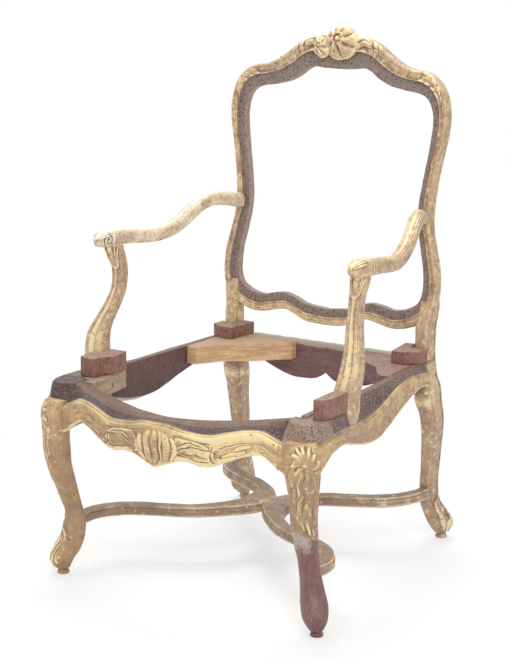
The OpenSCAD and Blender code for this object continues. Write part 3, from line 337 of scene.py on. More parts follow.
def giltwood(name, tacks_mm, chips, wear_and_highlight_tint, bright, tan, dusk, wood, band, top):
    """Water gilding over gesso on beech, rubbed and dirty: pale on rubbed, burnished arrises, painted
    there as a highlight too, pinkish tan where the bole shows through, brown-grey dirt in the cuts,
    chips down to white gesso or to the wood, larger as chips rises. Where no gold was laid the bare,
    dusty beech shows, with a crust of grey-green gesso along the gilding's edge and tack holes about
    tacks_mm apart in the tacking bands."""
    made, tree, shader, place = new_finish(name, 0.5)
    cloud, patch, streak, fleck, gesso, grain = (
        add(tree, "ShaderNodeTexNoise", {"Vector": place, "Scale": 1 / (size_mm * MM), "Detail": detail,
                                         "Roughness": rough})
        for size_mm, detail, rough in (
            (95, 3, 0.55), (21, 4, 0.6), (8, 5, 0.6), (3.4, 5, 0.65), (10, 5, 0.7), (13, 4, 0.65)))
    hollow, rub_and_highlight, gilt, tack = (add(tree, "ShaderNodeAttribute", out="Fac", attribute_name=key)
                               for key in ("hollow", "rub_and_highlight", "gilt", "tack"))
    up_from_floor = add(tree, "ShaderNodeSeparateXYZ", {0: place}, 2)
    # Random flecks of wear plus the arris value: the pale tint they lay is worn gold, and on the arrises a
    # painted highlight
    wear_and_highlight = add(tree, "ShaderNodeMath", {0: fleck, 1: rub_and_highlight}, operation="ADD")
    grime = add(tree, "ShaderNodeMath", {0: streak, 1: hollow}, operation="ADD")
    gold = coated(tree, colour(bright), [
        (cloud, 0.38, 0.62, 0.8, tan), (patch, 0.38, 0.72, 0.55, dusk),
        (streak, 0.46, 0.34, 0.5, bright), (streak, 0.50, 0.66, 0.5, "#9c7860"),
        (fleck, 0.52, 0.68, 0.5, "#886a58"), (up_from_floor, 0.40, 0.24, 0.55, dusk),
        (wear_and_highlight, 0.75, 1.3, 0.8, wear_and_highlight_tint), (grime, 0.74, 1.35, 0.8, "#705b4c"),
        (gesso, 0.635 - chips, 0.68 - chips, 0.7, "#e6ddc8"),
        (gesso, 0.37 + chips, 0.32 + chips, 0.7, "#7d6152")])
    facing_up = add(tree, "ShaderNodeSeparateXYZ", {0: add(tree, "ShaderNodeNewGeometry", out="Normal")}, 2)
    dusty = add(tree, "ShaderNodeMath", {0: tack, 1: 0.1, 2: fleck}, operation="MULTIPLY_ADD")
    lay = add(tree, "ShaderNodeAttribute", out="Vector", attribute_name="lay")
    reach = add(tree, "ShaderNodeTexVoronoi",
                {"Vector": lay, "Scale": 1 / (tacks_mm * MM), "Randomness": 0.9})
    hole = add(tree, "ShaderNodeMapRange", {0: reach, 1: 0.20, 2: 0.36, 3: 1.0, 4: 0.0})
    hole = add(tree, "ShaderNodeMath", {0: hole, 1: tack}, operation="MULTIPLY")
    edge = add(tree, "ShaderNodeMath", {0: fleck, 1: 0.5, 2: gilt}, operation="MULTIPLY_ADD")
    # Painted shade: below 0.375 m the bare wood turns to the band colour, darkening bare wood low down,
    # such as the lower half of the rails' inner faces under the seat
    shown = coated(tree, colour(wood), [
        (grain, 0.40, 0.62, 0.45, band), (facing_up, 0.55, 0.92, 0.9, top),
        (streak, 0.46, 0.62, 0.4, band), (up_from_floor, 0.375, 0.345, 0.45, band),
        (tack, 0.30, 0.60, 0.85, band), (tack, 0.75, 1.0, 0.7, "#b0957f"),
        (dusty, 0.60, 0.70, 0.4, "#ab9480"), (fleck, 0.47, 0.37, 0.65, "#4b3736"),
        (hole, 0.1, 0.8, 0.8, "#3f2c2a"), (edge, 0.38, 0.50, 0.85, "#a39b80"),
        (edge, 0.72, 0.80, 1.0, gold)])
    clean = add(tree, "ShaderNodeMapRange", {0: edge, 1: 0.7, 2: 0.8, 3: 0.0, 4: 0.30})
    tree.links.new(clean, shader.inputs["Metallic"])
    dull = add(tree, "ShaderNodeMapRange", {0: patch, 1: 0.35, 2: 0.65, 3: 0.38, 4: 0.60})
    tree.links.new(dull, shader.inputs["Roughness"])
    finished(tree, shader, shown, [(patch, 0.8), (fleck, 0.6), (gesso, 0.6), (grain, 0.3), (hole, -1.0)])
    return made


def plain_wood(name, light, dark, pore, top, marks, run, roughness=0.62, grain_mm=5.0):
    """Sawn or planed wood: streaks drawn out along the grain, short dark pores, uneven tone and
    dust or handling dirt on the faces that look up, in the colour top, and scuffs in the colour
    marks. Run squeezes the pattern along the grain. Smears of gesso lie over it where the gilt
    value is above 0."""
    made, tree, shader, place = new_finish(name, roughness)
    along = add(tree, "ShaderNodeMapping", {0: place, "Scale": run})
    grain, pores, cloud, scuff = (
        add(tree, "ShaderNodeTexNoise", {"Vector": at, "Scale": 1 / (size_mm * MM), "Detail": detail,
                                         "Roughness": rough})
        for at, size_mm, detail, rough in (
            (along, grain_mm, 4, 0.6), (along, 2.2, 2, 0.6), (place, 38, 3, 0.55), (place, 9, 5, 0.7)))
    facing_up = add(tree, "ShaderNodeSeparateXYZ", {0: add(tree, "ShaderNodeNewGeometry", out="Normal")}, 2)
    dusty = add(tree, "ShaderNodeMath", {0: facing_up, 1: scuff}, operation="MULTIPLY")
    left_on = add(tree, "ShaderNodeAttribute", out="Fac", attribute_name="gilt")
    smear = add(tree, "ShaderNodeMath", {0: pores, 1: 1.4, 2: left_on}, operation="MULTIPLY_ADD")
    wood = coated(tree, colour(light), [
        (grain, 0.36, 0.64, 0.9, dark), (pores, 0.55, 0.75, 0.5, pore), (cloud, 0.45, 0.70, 0.45, dark),
        (dusty, 0.28, 0.48, 0.8, top), (scuff, 0.62, 0.72, 0.6, pore), (scuff, 0.45, 0.37, 0.7, marks),
        (smear, 1.10, 1.55, 0.85, "#b3aa9a")])
    finished(tree, shader, wood, [(grain, 0.35), (pores, 0.15), (cloud, 0.8)])
    return made


def old_iron(name):
    """Forged nails and screws, rusted dark brown with grey where they were hammered."""
    made, tree, shader, place = new_finish(name, 0.6, 0.6)
    rust = add(tree, "ShaderNodeTexNoise", {"Vector": place, "Scale": 1 / (2 * MM), "Detail": 4.0})
    shown = coated(tree, colour("#4a4440"), [(rust, 0.4, 0.6, 1.0, "#6b4a38")])
    finished(tree, shader, shown, [(rust, 0.2)])
    return made


# The left arm is the palest, its gold painted lighter than the right arm's as painted light; the
# stretcher has lost most of its gold, and the gold of the back, the rear legs, the supports and the right
# arm is dustier
gilt_seat = giltwood(
    "water_gilding_on_beech", tacks_mm=4.0, chips=0.015, wear_and_highlight_tint="#f2dfaa", bright="#d9ba86", tan="#b08e70",
    dusk="#8c6f5a", wood="#6c4947", band="#432f31", top="#7a5f4c")
gilt_back = giltwood(
    "water_gilding_dusty", tacks_mm=7.0, chips=0.055, wear_and_highlight_tint="#f1dfb0", bright="#dfc294", tan="#bc9d82",
    dusk="#9c8272", wood="#ae927c", band="#83726a", top="#998472")
gilt_left_arm = giltwood(
    "water_gilding_painted_lit", tacks_mm=4.0, chips=0.0, wear_and_highlight_tint="#fbf4e2", bright="#f1e1c0", tan="#d0b494",
    dusk="#b0937b", wood="#6d5652", band="#6d5854", top="#94806d")
gilt_worn = giltwood(
    "water_gilding_worn_thin", tacks_mm=4.0, chips=0.03, wear_and_highlight_tint="#d8c19c", bright="#b8a186", tan="#8f7b6a",
    dusk="#8b7866", wood="#8a7668", band="#75645a", top="#8f7e70")
beech = plain_wood(
    "bare_beech", light="#7b5c59", dark="#67494d", pore="#94746a", top="#a08472", marks="#4f3a38",
    run=(0.1, 1, 1))
splice_beech = plain_wood(
    "stained_beech_splice", light="#855f5a", dark="#6d4c4a", pore="#98766c", top="#7e5e59", marks="#634542",
    run=(1, 1, 0.08), roughness=0.45)
block_beech = plain_wood(
    "tacking_block_beech", light="#9c7261", dark="#7b564c", pore="#5f413c", top="#a58a78", marks="#4b3634",
    run=(1, 1, 0.4))
new_pine = plain_wood(
    "new_softwood", light="#dab890", dark="#b98f66", pore="#e3c9a2", top="#b3977e", marks="#b48a63",
    run=(0.12, 0.12, 1), roughness=0.6, grain_mm=6.0)
old_pine = plain_wood(
    "older_softwood", light="#b8a088", dark="#95795f", pore="#cdb99e", top="#a08b7a", marks="#82705f",
    run=(0.12, 0.12, 1), roughness=0.62, grain_mm=6.0)
peg_oak = plain_wood(
    "oak_pegs", light="#6f5344", dark="#594034", pore="#86695a", top="#7b6353", marks="#46342c",
    run=(1, 1, 1))
iron = old_iron("forged_iron")


# Sizes of the chair, as in its solids

SEAT_W, SEAT_BACK_W, DEPTH, SEAT_H = 628, 524, 708, 402
RAIL_T, FRONT_BOW, INNER_BOW, DISH = 57, 47, 52, 22
FRONT_APRON, SIDE_APRON, TACK_DROP = 109, 80, 24
FACE_Y = -DEPTH / 2 + FRONT_BOW
HEAD = 76
CORNER = np.array([SEAT_W / 2 - HEAD, FACE_Y + HEAD])
FRONT_FOOT = np.array([SEAT_W / 2 - 19.5, FACE_Y + 48])
REAR_FOOT = np.array([SEAT_BACK_W / 2 - 13.7, DEPTH / 2 - 16.8])
POST = np.array([SEAT_BACK_W / 2 - 32, REAR_FOOT[1] - 66])
BLOCK = np.array([40, 39, 72])
BLOCK_Y = POST[1] - BLOCK[1] / 2
JOINT = np.array([POST[0] - BLOCK[0] / 2, BLOCK_Y - BLOCK[1] / 4])
BACK_RAIL_T = 24
BACK_RAIL_Y = POST[1] + BLOCK[1] / 2 - BACK_RAIL_T
BACK_W, BACK_H, FRAME_T, REBATE, RAKE = 513, 603, 28, 8, math.radians(5)
BACK_Y, BACK_Z = POST[1] - 14, SEAT_H + 43.5
# How tall the bead and quirk under a rail's gilt line are, the tack band's share of the way from the
# flat top's edge to the outer face, and the gap left between pieces
ROLL, TACK, GAP = 9, 0.66, 0.3


def side_in_x(y):
    """Inner face of the side rails, on a straight line from the front corner to the back joint."""
    return mix(SEAT_W / 2 - RAIL_T, SEAT_BACK_W / 2 - 29, (y - CORNER[1]) / (JOINT[1] - CORNER[1]))


# Half width, outer bow, inner bow, drop of the gilt line and apron, from the middle out
FRONT_SHARES = [
    [0.00, 1.00, 1.00, 0.08, 1.00], [0.12, 0.97, 0.96, 0.12, 0.90], [0.28, 0.88, 0.84, 0.50, 0.80],
    [0.46, 0.75, 0.62, 0.72, 0.86], [0.62, 0.50, 0.42, 0.52, 0.73], [0.75, 0.28, 0.26, 0.44, 0.63],
    [0.87, 0.11, 0.12, 0.62, 0.59], [1.00, 0.00, 0.00, 1.40, 0.80]]
# Length from the front, outer width, drop of the gilt line, apron and flat top
SIDE_SHARES = [
    [0.00, 1.00, 1.10, 0.76, 0.86], [0.10, 0.90, 1.18, 0.74, 0.86], [0.20, 0.77, 1.38, 0.90, 0.78],
    [0.34, 0.57, 1.72, 1.11, 0.42], [0.46, 0.46, 1.55, 1.16, 0.40], [0.56, 0.39, 1.08, 1.02, 0.42],
    [0.66, 0.31, 0.58, 0.83, 0.44], [0.80, 0.20, 0.42, 0.61, 0.44], [0.92, 0.08, 0.66, 0.54, 0.42],
    [1.00, 0.00, 0.95, 0.62, 0.42]]
# Way out to the side and to the front, drop of the gilt line, apron and flat top
HEAD_SHARES = [
    [0.00, 1.00, 1.40, 1.09, 0.42], [0.32, 0.98, 1.60, 1.22, 0.60], [0.60, 0.91, 1.72, 1.26, 0.76],
    [0.79, 0.78, 1.75, 1.26, 0.84], [0.90, 0.59, 1.65, 1.20, 0.86], [0.97, 0.33, 1.35, 0.98, 0.87],
    [1.00, 0.00, 1.10, 0.76, 0.86]]


def rail_skin(inside, outside, flat, top, line, low, fine=1):
    """A seat rail: flat top, steep tack band down to the gilt line, a bead there over a shallow
    quirk, a soft hollow apron and a rolled lower edge. Fine is the number of columns for each
    step of the apron. Also which side of the section each column is on."""
    across = np.linalg.norm(outside - inside, axis=1)

    def at(share, z, off=0.0):
        return np.column_stack([mix(inside, outside, (share - off / across)[:, None]), z])

    one = np.ones(len(across))
    tack = mix(flat, 1, TACK)
    lip = mix(low, line - ROLL, 0.3)
    corners = np.stack([
        at(0 * one, top), at(flat, top), at(tack, line + 2.5), at(mix(tack, 1, 0.10), line - 0.4),
        at(mix(tack, 1, 0.34), line + 0.6), at(mix(tack, 1, 0.50), line - 4.6),
        at(mix(tack, 1, 0.60), line - 2.2), at(mix(tack, 1, 0.88), line - 4.6), at(one, line - ROLL),
        at(one, line - ROLL - 6.0, 0.3), at(0.97 * one, mix(lip, line - ROLL, 0.4), 1.2),
        at(0.965 * one, lip), at(0.975 * one, low + 7.5), at(0.95 * one, low + 2.0), at(0.84 * one, low),
        at(0 * one, mix(low, top, 0.17))], axis=1)
    counts = (10, 10, 3, 3, 4, 3, 4, 4, 3, 8 * fine, 8 * fine, 5 * fine, 4, 3, 14, 18)
    return section(corners, counts, 1)


def rail_masks(side, length, from_side=1.55, holes=0.72, crust=0.0):
    """Where the rail is gilt, and where its tack holes are: the side that they start on, how
    strongly they show, and how much gesso is left between them."""
    gilded = ramp(side, 1.8, 3.2) * (1 - ramp(side, 14.4, 14.8))
    gilt = np.maximum(gilded, crust * window(side, 0.5, 2.2, 0.3))
    tack = holes * window(side, from_side, 2.2, 0.3)
    return np.tile(gilt, (length, 1)), np.tile(tack, (length, 1))


# Front rail

# In the leaves and cuts below, the height of the apron counts as this
LEAF_FIELD = 46
RAIL_LOBES = [
    [44, 26, 84, 41, 7, 9, 2.4], [48, 20, 112, 33, 9, 10, 2.6], [50, 16, 122, 20, 7, 8, 2.3],
    [46, 12, 102, 3, -6, 9, 2.4], [128, 11, 160, 6, -3, 6, 1.6], [142, 14, 180, 10, 3, 6, 1.7],
    [158, 19, 192, 21, 3, 5, 1.4]]
RAIL_SLITS = [
    [122, 37, 125, 4, -10, 1.3, 2.2], [40, 42, 118, 41, 4, 1.2, 1.3], [130, 30, 228, 22, 5, 1.2, 1.2],
    [52, 23, 98, 37, 9, 1.1, 1.8], [54, 18, 116, 27, 9, 1.1, 1.8], [52, 13, 114, 11, -4, 1.1, 1.7],
    [66, 26, 106, 34, 7, 0.9, 1.2], [132, 15, 176, 15, 3, 1.0, 1.2], [196, 12, 232, 8, -3, 1.0, 1.2],
    [204, 6, 222, 14, 3, 1.0, 1.2]]


def front_rail():
    """Serpentine rail in plan and elevation, carved with leaves beside the middle shell. The
    leaves are laid out by distance from the middle and by height over the lower edge."""
    half = curve(FRONT_SHARES, 24)
    s = np.concatenate([half[::-1] * [-1, 1, 1, 1, 1], half[1:]])
    x, top = s[:, 0] * CORNER[0], SEAT_H - DISH * (1 - s[:, 0] ** 2)
    inside = np.column_stack([x, FACE_Y + RAIL_T - INNER_BOW * s[:, 2]])
    outside = np.column_stack([x, FACE_Y - FRONT_BOW * s[:, 1]])
    p, side = rail_skin(inside, outside, 0.42 + 0 * x, top, top - TACK_DROP * s[:, 3],
                        SEAT_H - FRONT_APRON * s[:, 4], 2)
    front = window(side, 8.8, 13.2, 0.6)[None]
    edge = (SEAT_H - FRONT_APRON * s[:, 4])[:, None]
    line = (top - TACK_DROP * s[:, 3] - ROLL)[:, None]
    u = np.abs(p[..., 0]) + 2.5 * wobble(p, 34, 11)
    v = LEAF_FIELD * (p[..., 2] - edge) / (line - edge) + 1.2 * wobble(p, 26, 12)
    carve = leaf_work(u, v, RAIL_LOBES, RAIL_SLITS)
    p = worked(p, 0.4, 60, 3, carve * front)
    gilt, tack = rail_masks(side, len(p))
    # Painted highlight: the pale coat on the rail's arrises is raised across its right half and eases off
    # towards the right end
    painted_highlight_share = 0.05 + 0.6 * ramp(p[..., 0], 30, 90) * (1 - 0.35 * ramp(p[..., 0], 190, 236))
    return tube(p, gilt, tack, painted_highlight_share)


def gadroons(x, z):
    """Round ribs that run up a shell like a melon's, wide at its middle and close at both poles:
    the size of a cosine of x over the shell's own width at that height. Its right-hand edge curls
    over in two round ribs about a point inside it."""
    bent = x + 0.05 * np.sin(3 * z) + 0.03 * np.sin(7 * z + 4 * x)
    ribs = np.abs(np.cos(2.7 * math.pi * bent / np.sqrt(1.2 - 0.7 * np.clip(z, -1, 1) ** 2)))
    curl = np.abs(np.cos(2.4 * math.pi * np.hypot(bent - 0.15, 0.5 * (z - 0.1))))
    return mix(ribs, curl, ramp(bent, 0.36, 0.42))


def petals(x, z):
    """Seven petals that curl round an eye left of the middle and over it, each rounded across,
    and the eye itself a ring with a button in it."""
    from_eye = np.hypot(x + 0.16, z - 0.30)
    ray = np.arctan2(x + 0.16, z - 0.30)
    eye = np.exp(-((from_eye - 0.02) / 0.14) ** 2) + 0.8 * np.exp(-((from_eye - 0.36) / 0.09) ** 2)
    return np.where(from_eye < 0.28, eye, np.maximum(eye, np.abs(np.cos(3.5 * ray + 1.1 * from_eye - 0.5))))


def shell(middle, right, out, wide, high, deep, ribs, seed, draw=0.0):
    """A carved shell: a low dome on an oval plan, ribbed by a function of the place on it, with a
    scalloped rim and a flat back, its lower half drawn in by draw. Rows run from the front's pole
    over the rim to the back's."""
    right, out = np.array(right, float), np.array(out, float)
    up = np.cross(right, -out)
    turn = round_angles(288)
    face = np.linspace(0.02, 0.97, 56)
    r = np.concatenate([face, [1.0, 1.0, 0.9, 0.02]])[:, None]
    lift = np.concatenate([np.ones(len(face) + 1), np.zeros(3)])[:, None]
    x, z = r * np.cos(turn), r * np.sin(turn)
    rib = ribs(x, z) ** 0.7
    rim = 1 + 0.08 * (rib - 0.6) * ramp(r + 0 * x, 0.7, 1.0)
    dome = np.sqrt(np.clip(1 - 0.96 * r**2, 0, 1))
    height = deep * lift * (0.15 + 0.85 * dome) * (0.42 + 0.58 * rib)
    rim = rim * (1 - draw * np.clip(-z, 0, 1) ** 1.3)
    p = (np.array(middle, float) + right * (x * rim * wide / 2)[..., None]
         + up * (z * rim * high / 2)[..., None] + out * (height - 4.0 * (1 - lift))[..., None])
    return p + 0.3 * wobble(p, 25, seed)[..., None] * out


# Front legs

# Sway to the side and to the back, height, width across the corner and along it
FRONT_LEG_SHARES = [
    [-0.75, -0.95, 1.063, 1.04, 0.66], [-0.50, -1.08, 1.00, 1.12, 0.76], [-0.50, -1.00, 0.923, 1.10, 0.83],
    [-0.50, -0.93, 0.843, 0.98, 0.85], [-0.48, -0.87, 0.771, 0.89, 0.85], [-0.51, -0.76, 0.694, 0.83, 0.80],
    [-0.60, -0.58, 0.620, 0.81, 0.76], [-0.66, -0.30, 0.543, 0.77, 0.70], [-0.74, -0.01, 0.463, 0.71, 0.66],
    [-0.79, 0.30, 0.386, 0.65, 0.61], [-0.73, 0.46, 0.303, 0.67, 0.71], [-0.57, 0.42, 0.229, 0.74, 0.77],
    [-0.30, 0.18, 0.160, 0.84, 0.88], [-0.05, -0.12, 0.097, 0.75, 0.77], [0.00, -0.08, 0.042, 0.48, 0.50]]
FRONT_SWAY, KNEE_Z, KNEE_W, PAD_H, PAD_D = 30, 350, 60, 16, 24
# The level direction, from the foot's middle, of the spliced leg's side that has smears of gesso
SMEAR_WAY = np.array([-0.84, -0.54])
KNEE_LOBES = [
    [0, 336, 0, 367, 0, 6, 3.0], [2, 335, 12, 366, 2, 6, 2.9], [4, 333, 22, 358, 2, 6, 2.7],
    [4, 330, 29, 345, 2, 6, 2.3], [0, 330, 1, 206, 0, 7, 1.6], [7, 327, 16, 268, 3, 8, 1.7],
    [15, 325, 29, 286, 4, 7, 1.5], [9, 300, 15, 226, 3, 7, 1.4], [18, 292, 26, 250, 4, 6, 1.2],
    [3, 252, 9, 208, 2, 5, 1.2]]
KNEE_SLITS = [
    [2, 330, 31, 326, 4, 1.5, 1.2], [11, 316, 21, 272, 4, 1.1, 1.0], [13, 276, 20, 236, 3, 1.1, 0.9],
    [5, 260, 9, 222, 2, 1.0, 0.7], [29, 350, 25, 236, 3, 1.5, 1.0]]
TOE_LOBES = [
    [0, 98, 0, 14, 0, 6, 2.8], [4, 92, 17, 38, 5, 8, 2.6], [9, 70, 24, 20, 6, 7, 2.6],
    [4, 48, 13, 12, 2, 6, 2.2]]
TOE_SLITS = [[5, 86, 8, 18, 2, 1.3, 1.8], [9, 78, 17, 24, 4, 1.3, 1.8], [16, 78, 26, 34, 5, 1.2, 1.4]]


def leg_middle(z):
    """How far the front leg's middle lies across the corner's diagonal, at each height."""
    rows = np.array(FRONT_LEG_SHARES)[::-1]
    return np.interp(z, KNEE_Z * rows[:, 2], FRONT_SWAY * (rows[:, 0] + rows[:, 1]) / math.sqrt(2))


def knee_carving(p):
    """The carving of knee and foot, on whatever lies outermost at the corner: a shell under the
    gilt line, a long leaf below it and leaves over the foot, laid out by height and by distance
    from the leg's middle line."""
    n = facing(p)
    across = (p[..., 0] - FRONT_FOOT[0] + p[..., 1] - FRONT_FOOT[1]) / math.sqrt(2) - leg_middle(p[..., 2])
    outer = ramp((n[..., 0] - n[..., 1]) / math.sqrt(2), 0.0, 0.4)
    side = np.abs(across - 2 + 3.5 * wobble(p, 46, 13))
    z = p[..., 2] + 6 * wobble(p, 34, 14) + 9 * np.tanh(across / 6) * (1 - ramp(p[..., 2], 296, 330))
    return outer * leaf_work(side, z, KNEE_LOBES + TOE_LOBES, KNEE_SLITS + TOE_SLITS)


def head_skin():
    """The front corner block, which carries the rails' section round the corner as a fan."""
    s = curve(HEAD_SHARES, 18)
    outside = CORNER + HEAD * s[:, :2] * [1, -1]
    inside = mix(CORNER, outside, 0.12)
    one = np.ones(len(s))
    p, side = rail_skin(inside, outside, s[:, 4], SEAT_H * one, SEAT_H - TACK_DROP * s[:, 2],
                        SEAT_H - SIDE_APRON * s[:, 3], 2)
    p = worked(p, 0.4, 40, 9, knee_carving(p) * window(side, 6.5, 13.2, 0.6))
    return p, *rail_masks(side, len(p), 0.35, 1.0)


def front_leg_rings():
    """Rings of the cabriole curve, turned to face the chair's corner, and their angle from the
    corner outwards: a superellipse, wide across the corner and narrower along it."""
    s = curve(FRONT_LEG_SHARES, 18)
    turn = np.linspace(-math.pi, math.pi, 121)[:-1][None]
    across = s[:, [3]] * KNEE_W / 2 * power(np.sin(turn), 0.8)
    along = s[:, [4]] * KNEE_W / 2 * power(np.cos(turn), 0.8)
    x = FRONT_FOOT[0] + FRONT_SWAY * s[:, [0]] + (across + along) / math.sqrt(2)
    y = FRONT_FOOT[1] + FRONT_SWAY * s[:, [1]] + (across - along) / math.sqrt(2)
    return np.stack([x, y, KNEE_Z * s[:, [2]] + 0 * turn], -1), turn


def carved_leg(p, turn):
    """The leg's carving: knee and foot leaves, and a thin quirk down both edges."""
    quirk = groove(np.abs(turn), 1.15, 0.07, 0.4) * window(p[..., 2], 84, 318, 18)
    return worked(p, 0.4, 45, 5, knee_carving(p) + quirk)


# Radius and height
PAD_SHARES = [
    [0.55, 0], [0.97, 0.03], [1.0, 0.22], [0.93, 0.42], [0.78, 0.52], [0.80, 0.62], [0.92, 0.78],
    [0.9, 1.0]]


def pad(at, gilt=1.0):
    """The small turned pad under a foot: a foot bead, a neck and a top bead, round an upright."""
    profile = curve(PAD_SHARES, 5)
    turn = round_angles(40)
    r = profile[:, [0]] * PAD_D / 2
    z = profile[:, [1]] * PAD_H + 0 * turn
    p = np.stack([at[0] + r * np.cos(turn), at[1] + r * np.sin(turn), z], -1)
    p[..., 2] = np.maximum(p[..., 2], 0)
    return tube(p, gilt)


SCARF_POINT = np.array([
    FRONT_FOOT[0] - 0.67 * FRONT_SWAY, FRONT_FOOT[1] - 0.42 * FRONT_SWAY, KNEE_Z * 0.56])


def scarf_height(p):
    """Distance of each point above the slanting joint of the spliced leg."""
    tilt, turn = math.radians(63), math.radians(33)
    way = np.array([math.cos(tilt) * math.cos(turn), math.cos(tilt) * math.sin(turn), math.sin(tilt)])
    return (p - SCARF_POINT) @ way


def cut_rows(p, height, above, rows):
    """The part of a tube above or below a slanting cut: each column is followed to the place
    where height changes sign, and cut into the same number of rows up to there."""
    first = np.argmax(height < 0, axis=0)
    cols = np.arange(p.shape[1])
    hi, lo = height[first - 1, cols], height[first, cols]
    stop = first - 1 + hi / (hi - lo)
    share = np.linspace(0, 1, rows)[:, None]
    u = share * stop if above else mix(stop, len(p) - 1, share)
    i = np.clip(u.astype(int), 0, len(p) - 2)
    f = (u - i)[..., None]
    return p[i, cols] * (1 - f) + p[i + 1, cols] * f


def front_legs():
    """Left leg carved to the foot. The right one is carved above its slanting splice, and plain
    bare wood of the same curve below it."""
    rings, turn = front_leg_rings()
    carved = carved_leg(rings, turn)
    plain = worked(rings, 0.5, 55, 21)
    p, gilt, tack = head_skin()
    left_foot = FRONT_FOOT * [-1, 1]
    piece("front_leg_left", "carved",
          [tube(mirrored(p), gilt, 0.7 * tack), tube(mirrored(carved)), pad(left_foot)],
          gilt_seat)
    upper = cut_rows(carved, scarf_height(rings), True, 170)
    ragged = scarf_height(upper) + 7 * wobble(upper, 16, 22)
    # The 0.15 passed as bright raises the painted highlight on the right corner block's arrises
    piece("front_leg_right", "carved",
          [tube(p, gilt, tack, 0.15), tube(upper, 0.30 + 0.8 * ramp(ragged, -2, 10))],
          gilt_seat)
    lower = cut_rows(plain, scarf_height(rings), False, 110)
    faced = ramp((lower[..., :2] - FRONT_FOOT) @ SMEAR_WAY, 2, 18)
    smears = 0.8 * faced * (1 - ramp(12 * wobble(lower, 22, 23) - scarf_height(lower), 10, 62))
    piece("leg_splice", "turned", [tube(lower, smears), pad(FRONT_FOOT, 0.0)], splice_beech)


# Side rails

def side_rail():
    """Right side rail: the same section as the front rail's, on the splayed side of the seat."""
    s = curve(SIDE_SHARES, 22)
    y = mix(CORNER[1], JOINT[1], s[:, 0])
    inside = np.column_stack([side_in_x(y), y])
    outside = np.column_stack([mix(SEAT_BACK_W / 2, SEAT_W / 2, s[:, 1]), y])
    p, side = rail_skin(inside, outside, s[:, 4], SEAT_H + 0 * y, SEAT_H - TACK_DROP * s[:, 2],
                        SEAT_H - SIDE_APRON * s[:, 3])
    p = worked(p, 0.4, 60, 31)
    return p, *rail_masks(side, len(p), 1.4, 0.42, 0.145)


# Rear legs and the back frame

# Sway to the side and to the back, height, width and depth, from the neck down
REAR_LEG_SHARES = [
    [-0.28, -1.62, 1.294, 0.88, 0.52], [-0.36, -1.66, 1.231, 0.92, 0.65], [-0.46, -1.74, 1.169, 0.90, 0.78],
    [-0.46, -1.78, 1.107, 0.88, 0.84], [-0.46, -1.80, 1.045, 0.88, 0.86], [-0.46, -1.79, 1.000, 0.90, 0.86],
    [-0.44, -1.72, 0.918, 0.98, 1.00], [-0.38, -1.56, 0.846, 1.14, 1.16], [-0.36, -1.42, 0.771, 1.20, 1.20],
    [-0.29, -1.20, 0.709, 1.06, 1.09], [-0.24, -1.09, 0.652, 0.98, 1.05], [-0.26, -1.03, 0.597, 0.92, 1.01],
    [-0.30, -1.00, 0.542, 0.88, 0.97], [-0.33, -0.98, 0.488, 0.84, 0.93], [-0.37, -0.95, 0.433, 0.81, 0.89],
    [-0.42, -0.93, 0.378, 0.78, 0.86], [-0.45, -0.92, 0.321, 0.77, 0.84], [-0.45, -0.88, 0.266, 0.79, 0.85],
    [-0.42, -0.73, 0.206, 0.90, 0.91], [-0.17, -0.40, 0.139, 1.11, 1.05], [0.00, -0.16, 0.085, 1.13, 1.00],
    [0.02, -0.06, 0.034, 0.64, 0.58]]
REAR_SWAY, POST_W, POST_D = 36, 38, 46
# Half width and height of the outer edge and of the inner one, from the crest's middle
BACK_SHARES = [
    [0.00, 1.000, 0.00, 0.885], [0.13, 0.998, 0.13, 0.887], [0.26, 0.990, 0.23, 0.891],
    [0.37, 0.970, 0.30, 0.880], [0.46, 0.942, 0.37, 0.858], [0.56, 0.915, 0.48, 0.836],
    [0.67, 0.896, 0.61, 0.824], [0.80, 0.887, 0.72, 0.817], [0.90, 0.860, 0.80, 0.803],
    [0.97, 0.813, 0.85, 0.773], [1.00, 0.750, 0.87, 0.726], [0.99, 0.679, 0.86, 0.663],
    [0.96, 0.616, 0.84, 0.600], [0.93, 0.537, 0.81, 0.521], [0.91, 0.458, 0.79, 0.450],
    [0.91, 0.380, 0.79, 0.387], [0.95, 0.301, 0.82, 0.317], [0.99, 0.230, 0.86, 0.238],
    [1.00, 0.159, 0.87, 0.167], [0.97, 0.096, 0.84, 0.120], [0.88, 0.052, 0.77, 0.098],
    [0.76, 0.027, 0.70, 0.087], [0.63, 0.019, 0.61, 0.082], [0.50, 0.030, 0.52, 0.090],
    [0.38, 0.038, 0.41, 0.096], [0.28, 0.024, 0.31, 0.085], [0.17, 0.005, 0.19, 0.066],
    [0.00, 0.000, 0.00, 0.057]]
# Rows of that table at the upper corner and at the two seams, and the steps between its rows
UPPER_CORNER, CREST_SEAM, BOTTOM_SEAM, BACK_STEPS = 8, 10, 21, 12


def on_back(p):
    """Points of the upright back frame leant back by its rake, about its lower front edge."""
    c, s = math.cos(RAKE), math.sin(RAKE)
    x, y, z = p[..., 0], p[..., 1], p[..., 2]
    return np.stack([x, BACK_Y + y * c + z * s, BACK_Z - y * s + z * c], -1)


# Powers of the superellipse sections: that of rear legs, arms and supports, and the blocks' squarer one
SQUARE, SQUARER = 0.55, 0.16


def square_rings(x, y, z, w, d):
    """Level rings of a superellipse, the rounded section of legs and supports, and their angle."""
    turn = round_angles(72)
    x, y, z, w, d = (row[:, None] for row in (x, y, z, w, d))
    rings = [x + w / 2 * power(np.cos(turn), SQUARE), y + d / 2 * power(np.sin(turn), SQUARE), z + 0 * turn]
    return np.stack(rings, -1), turn


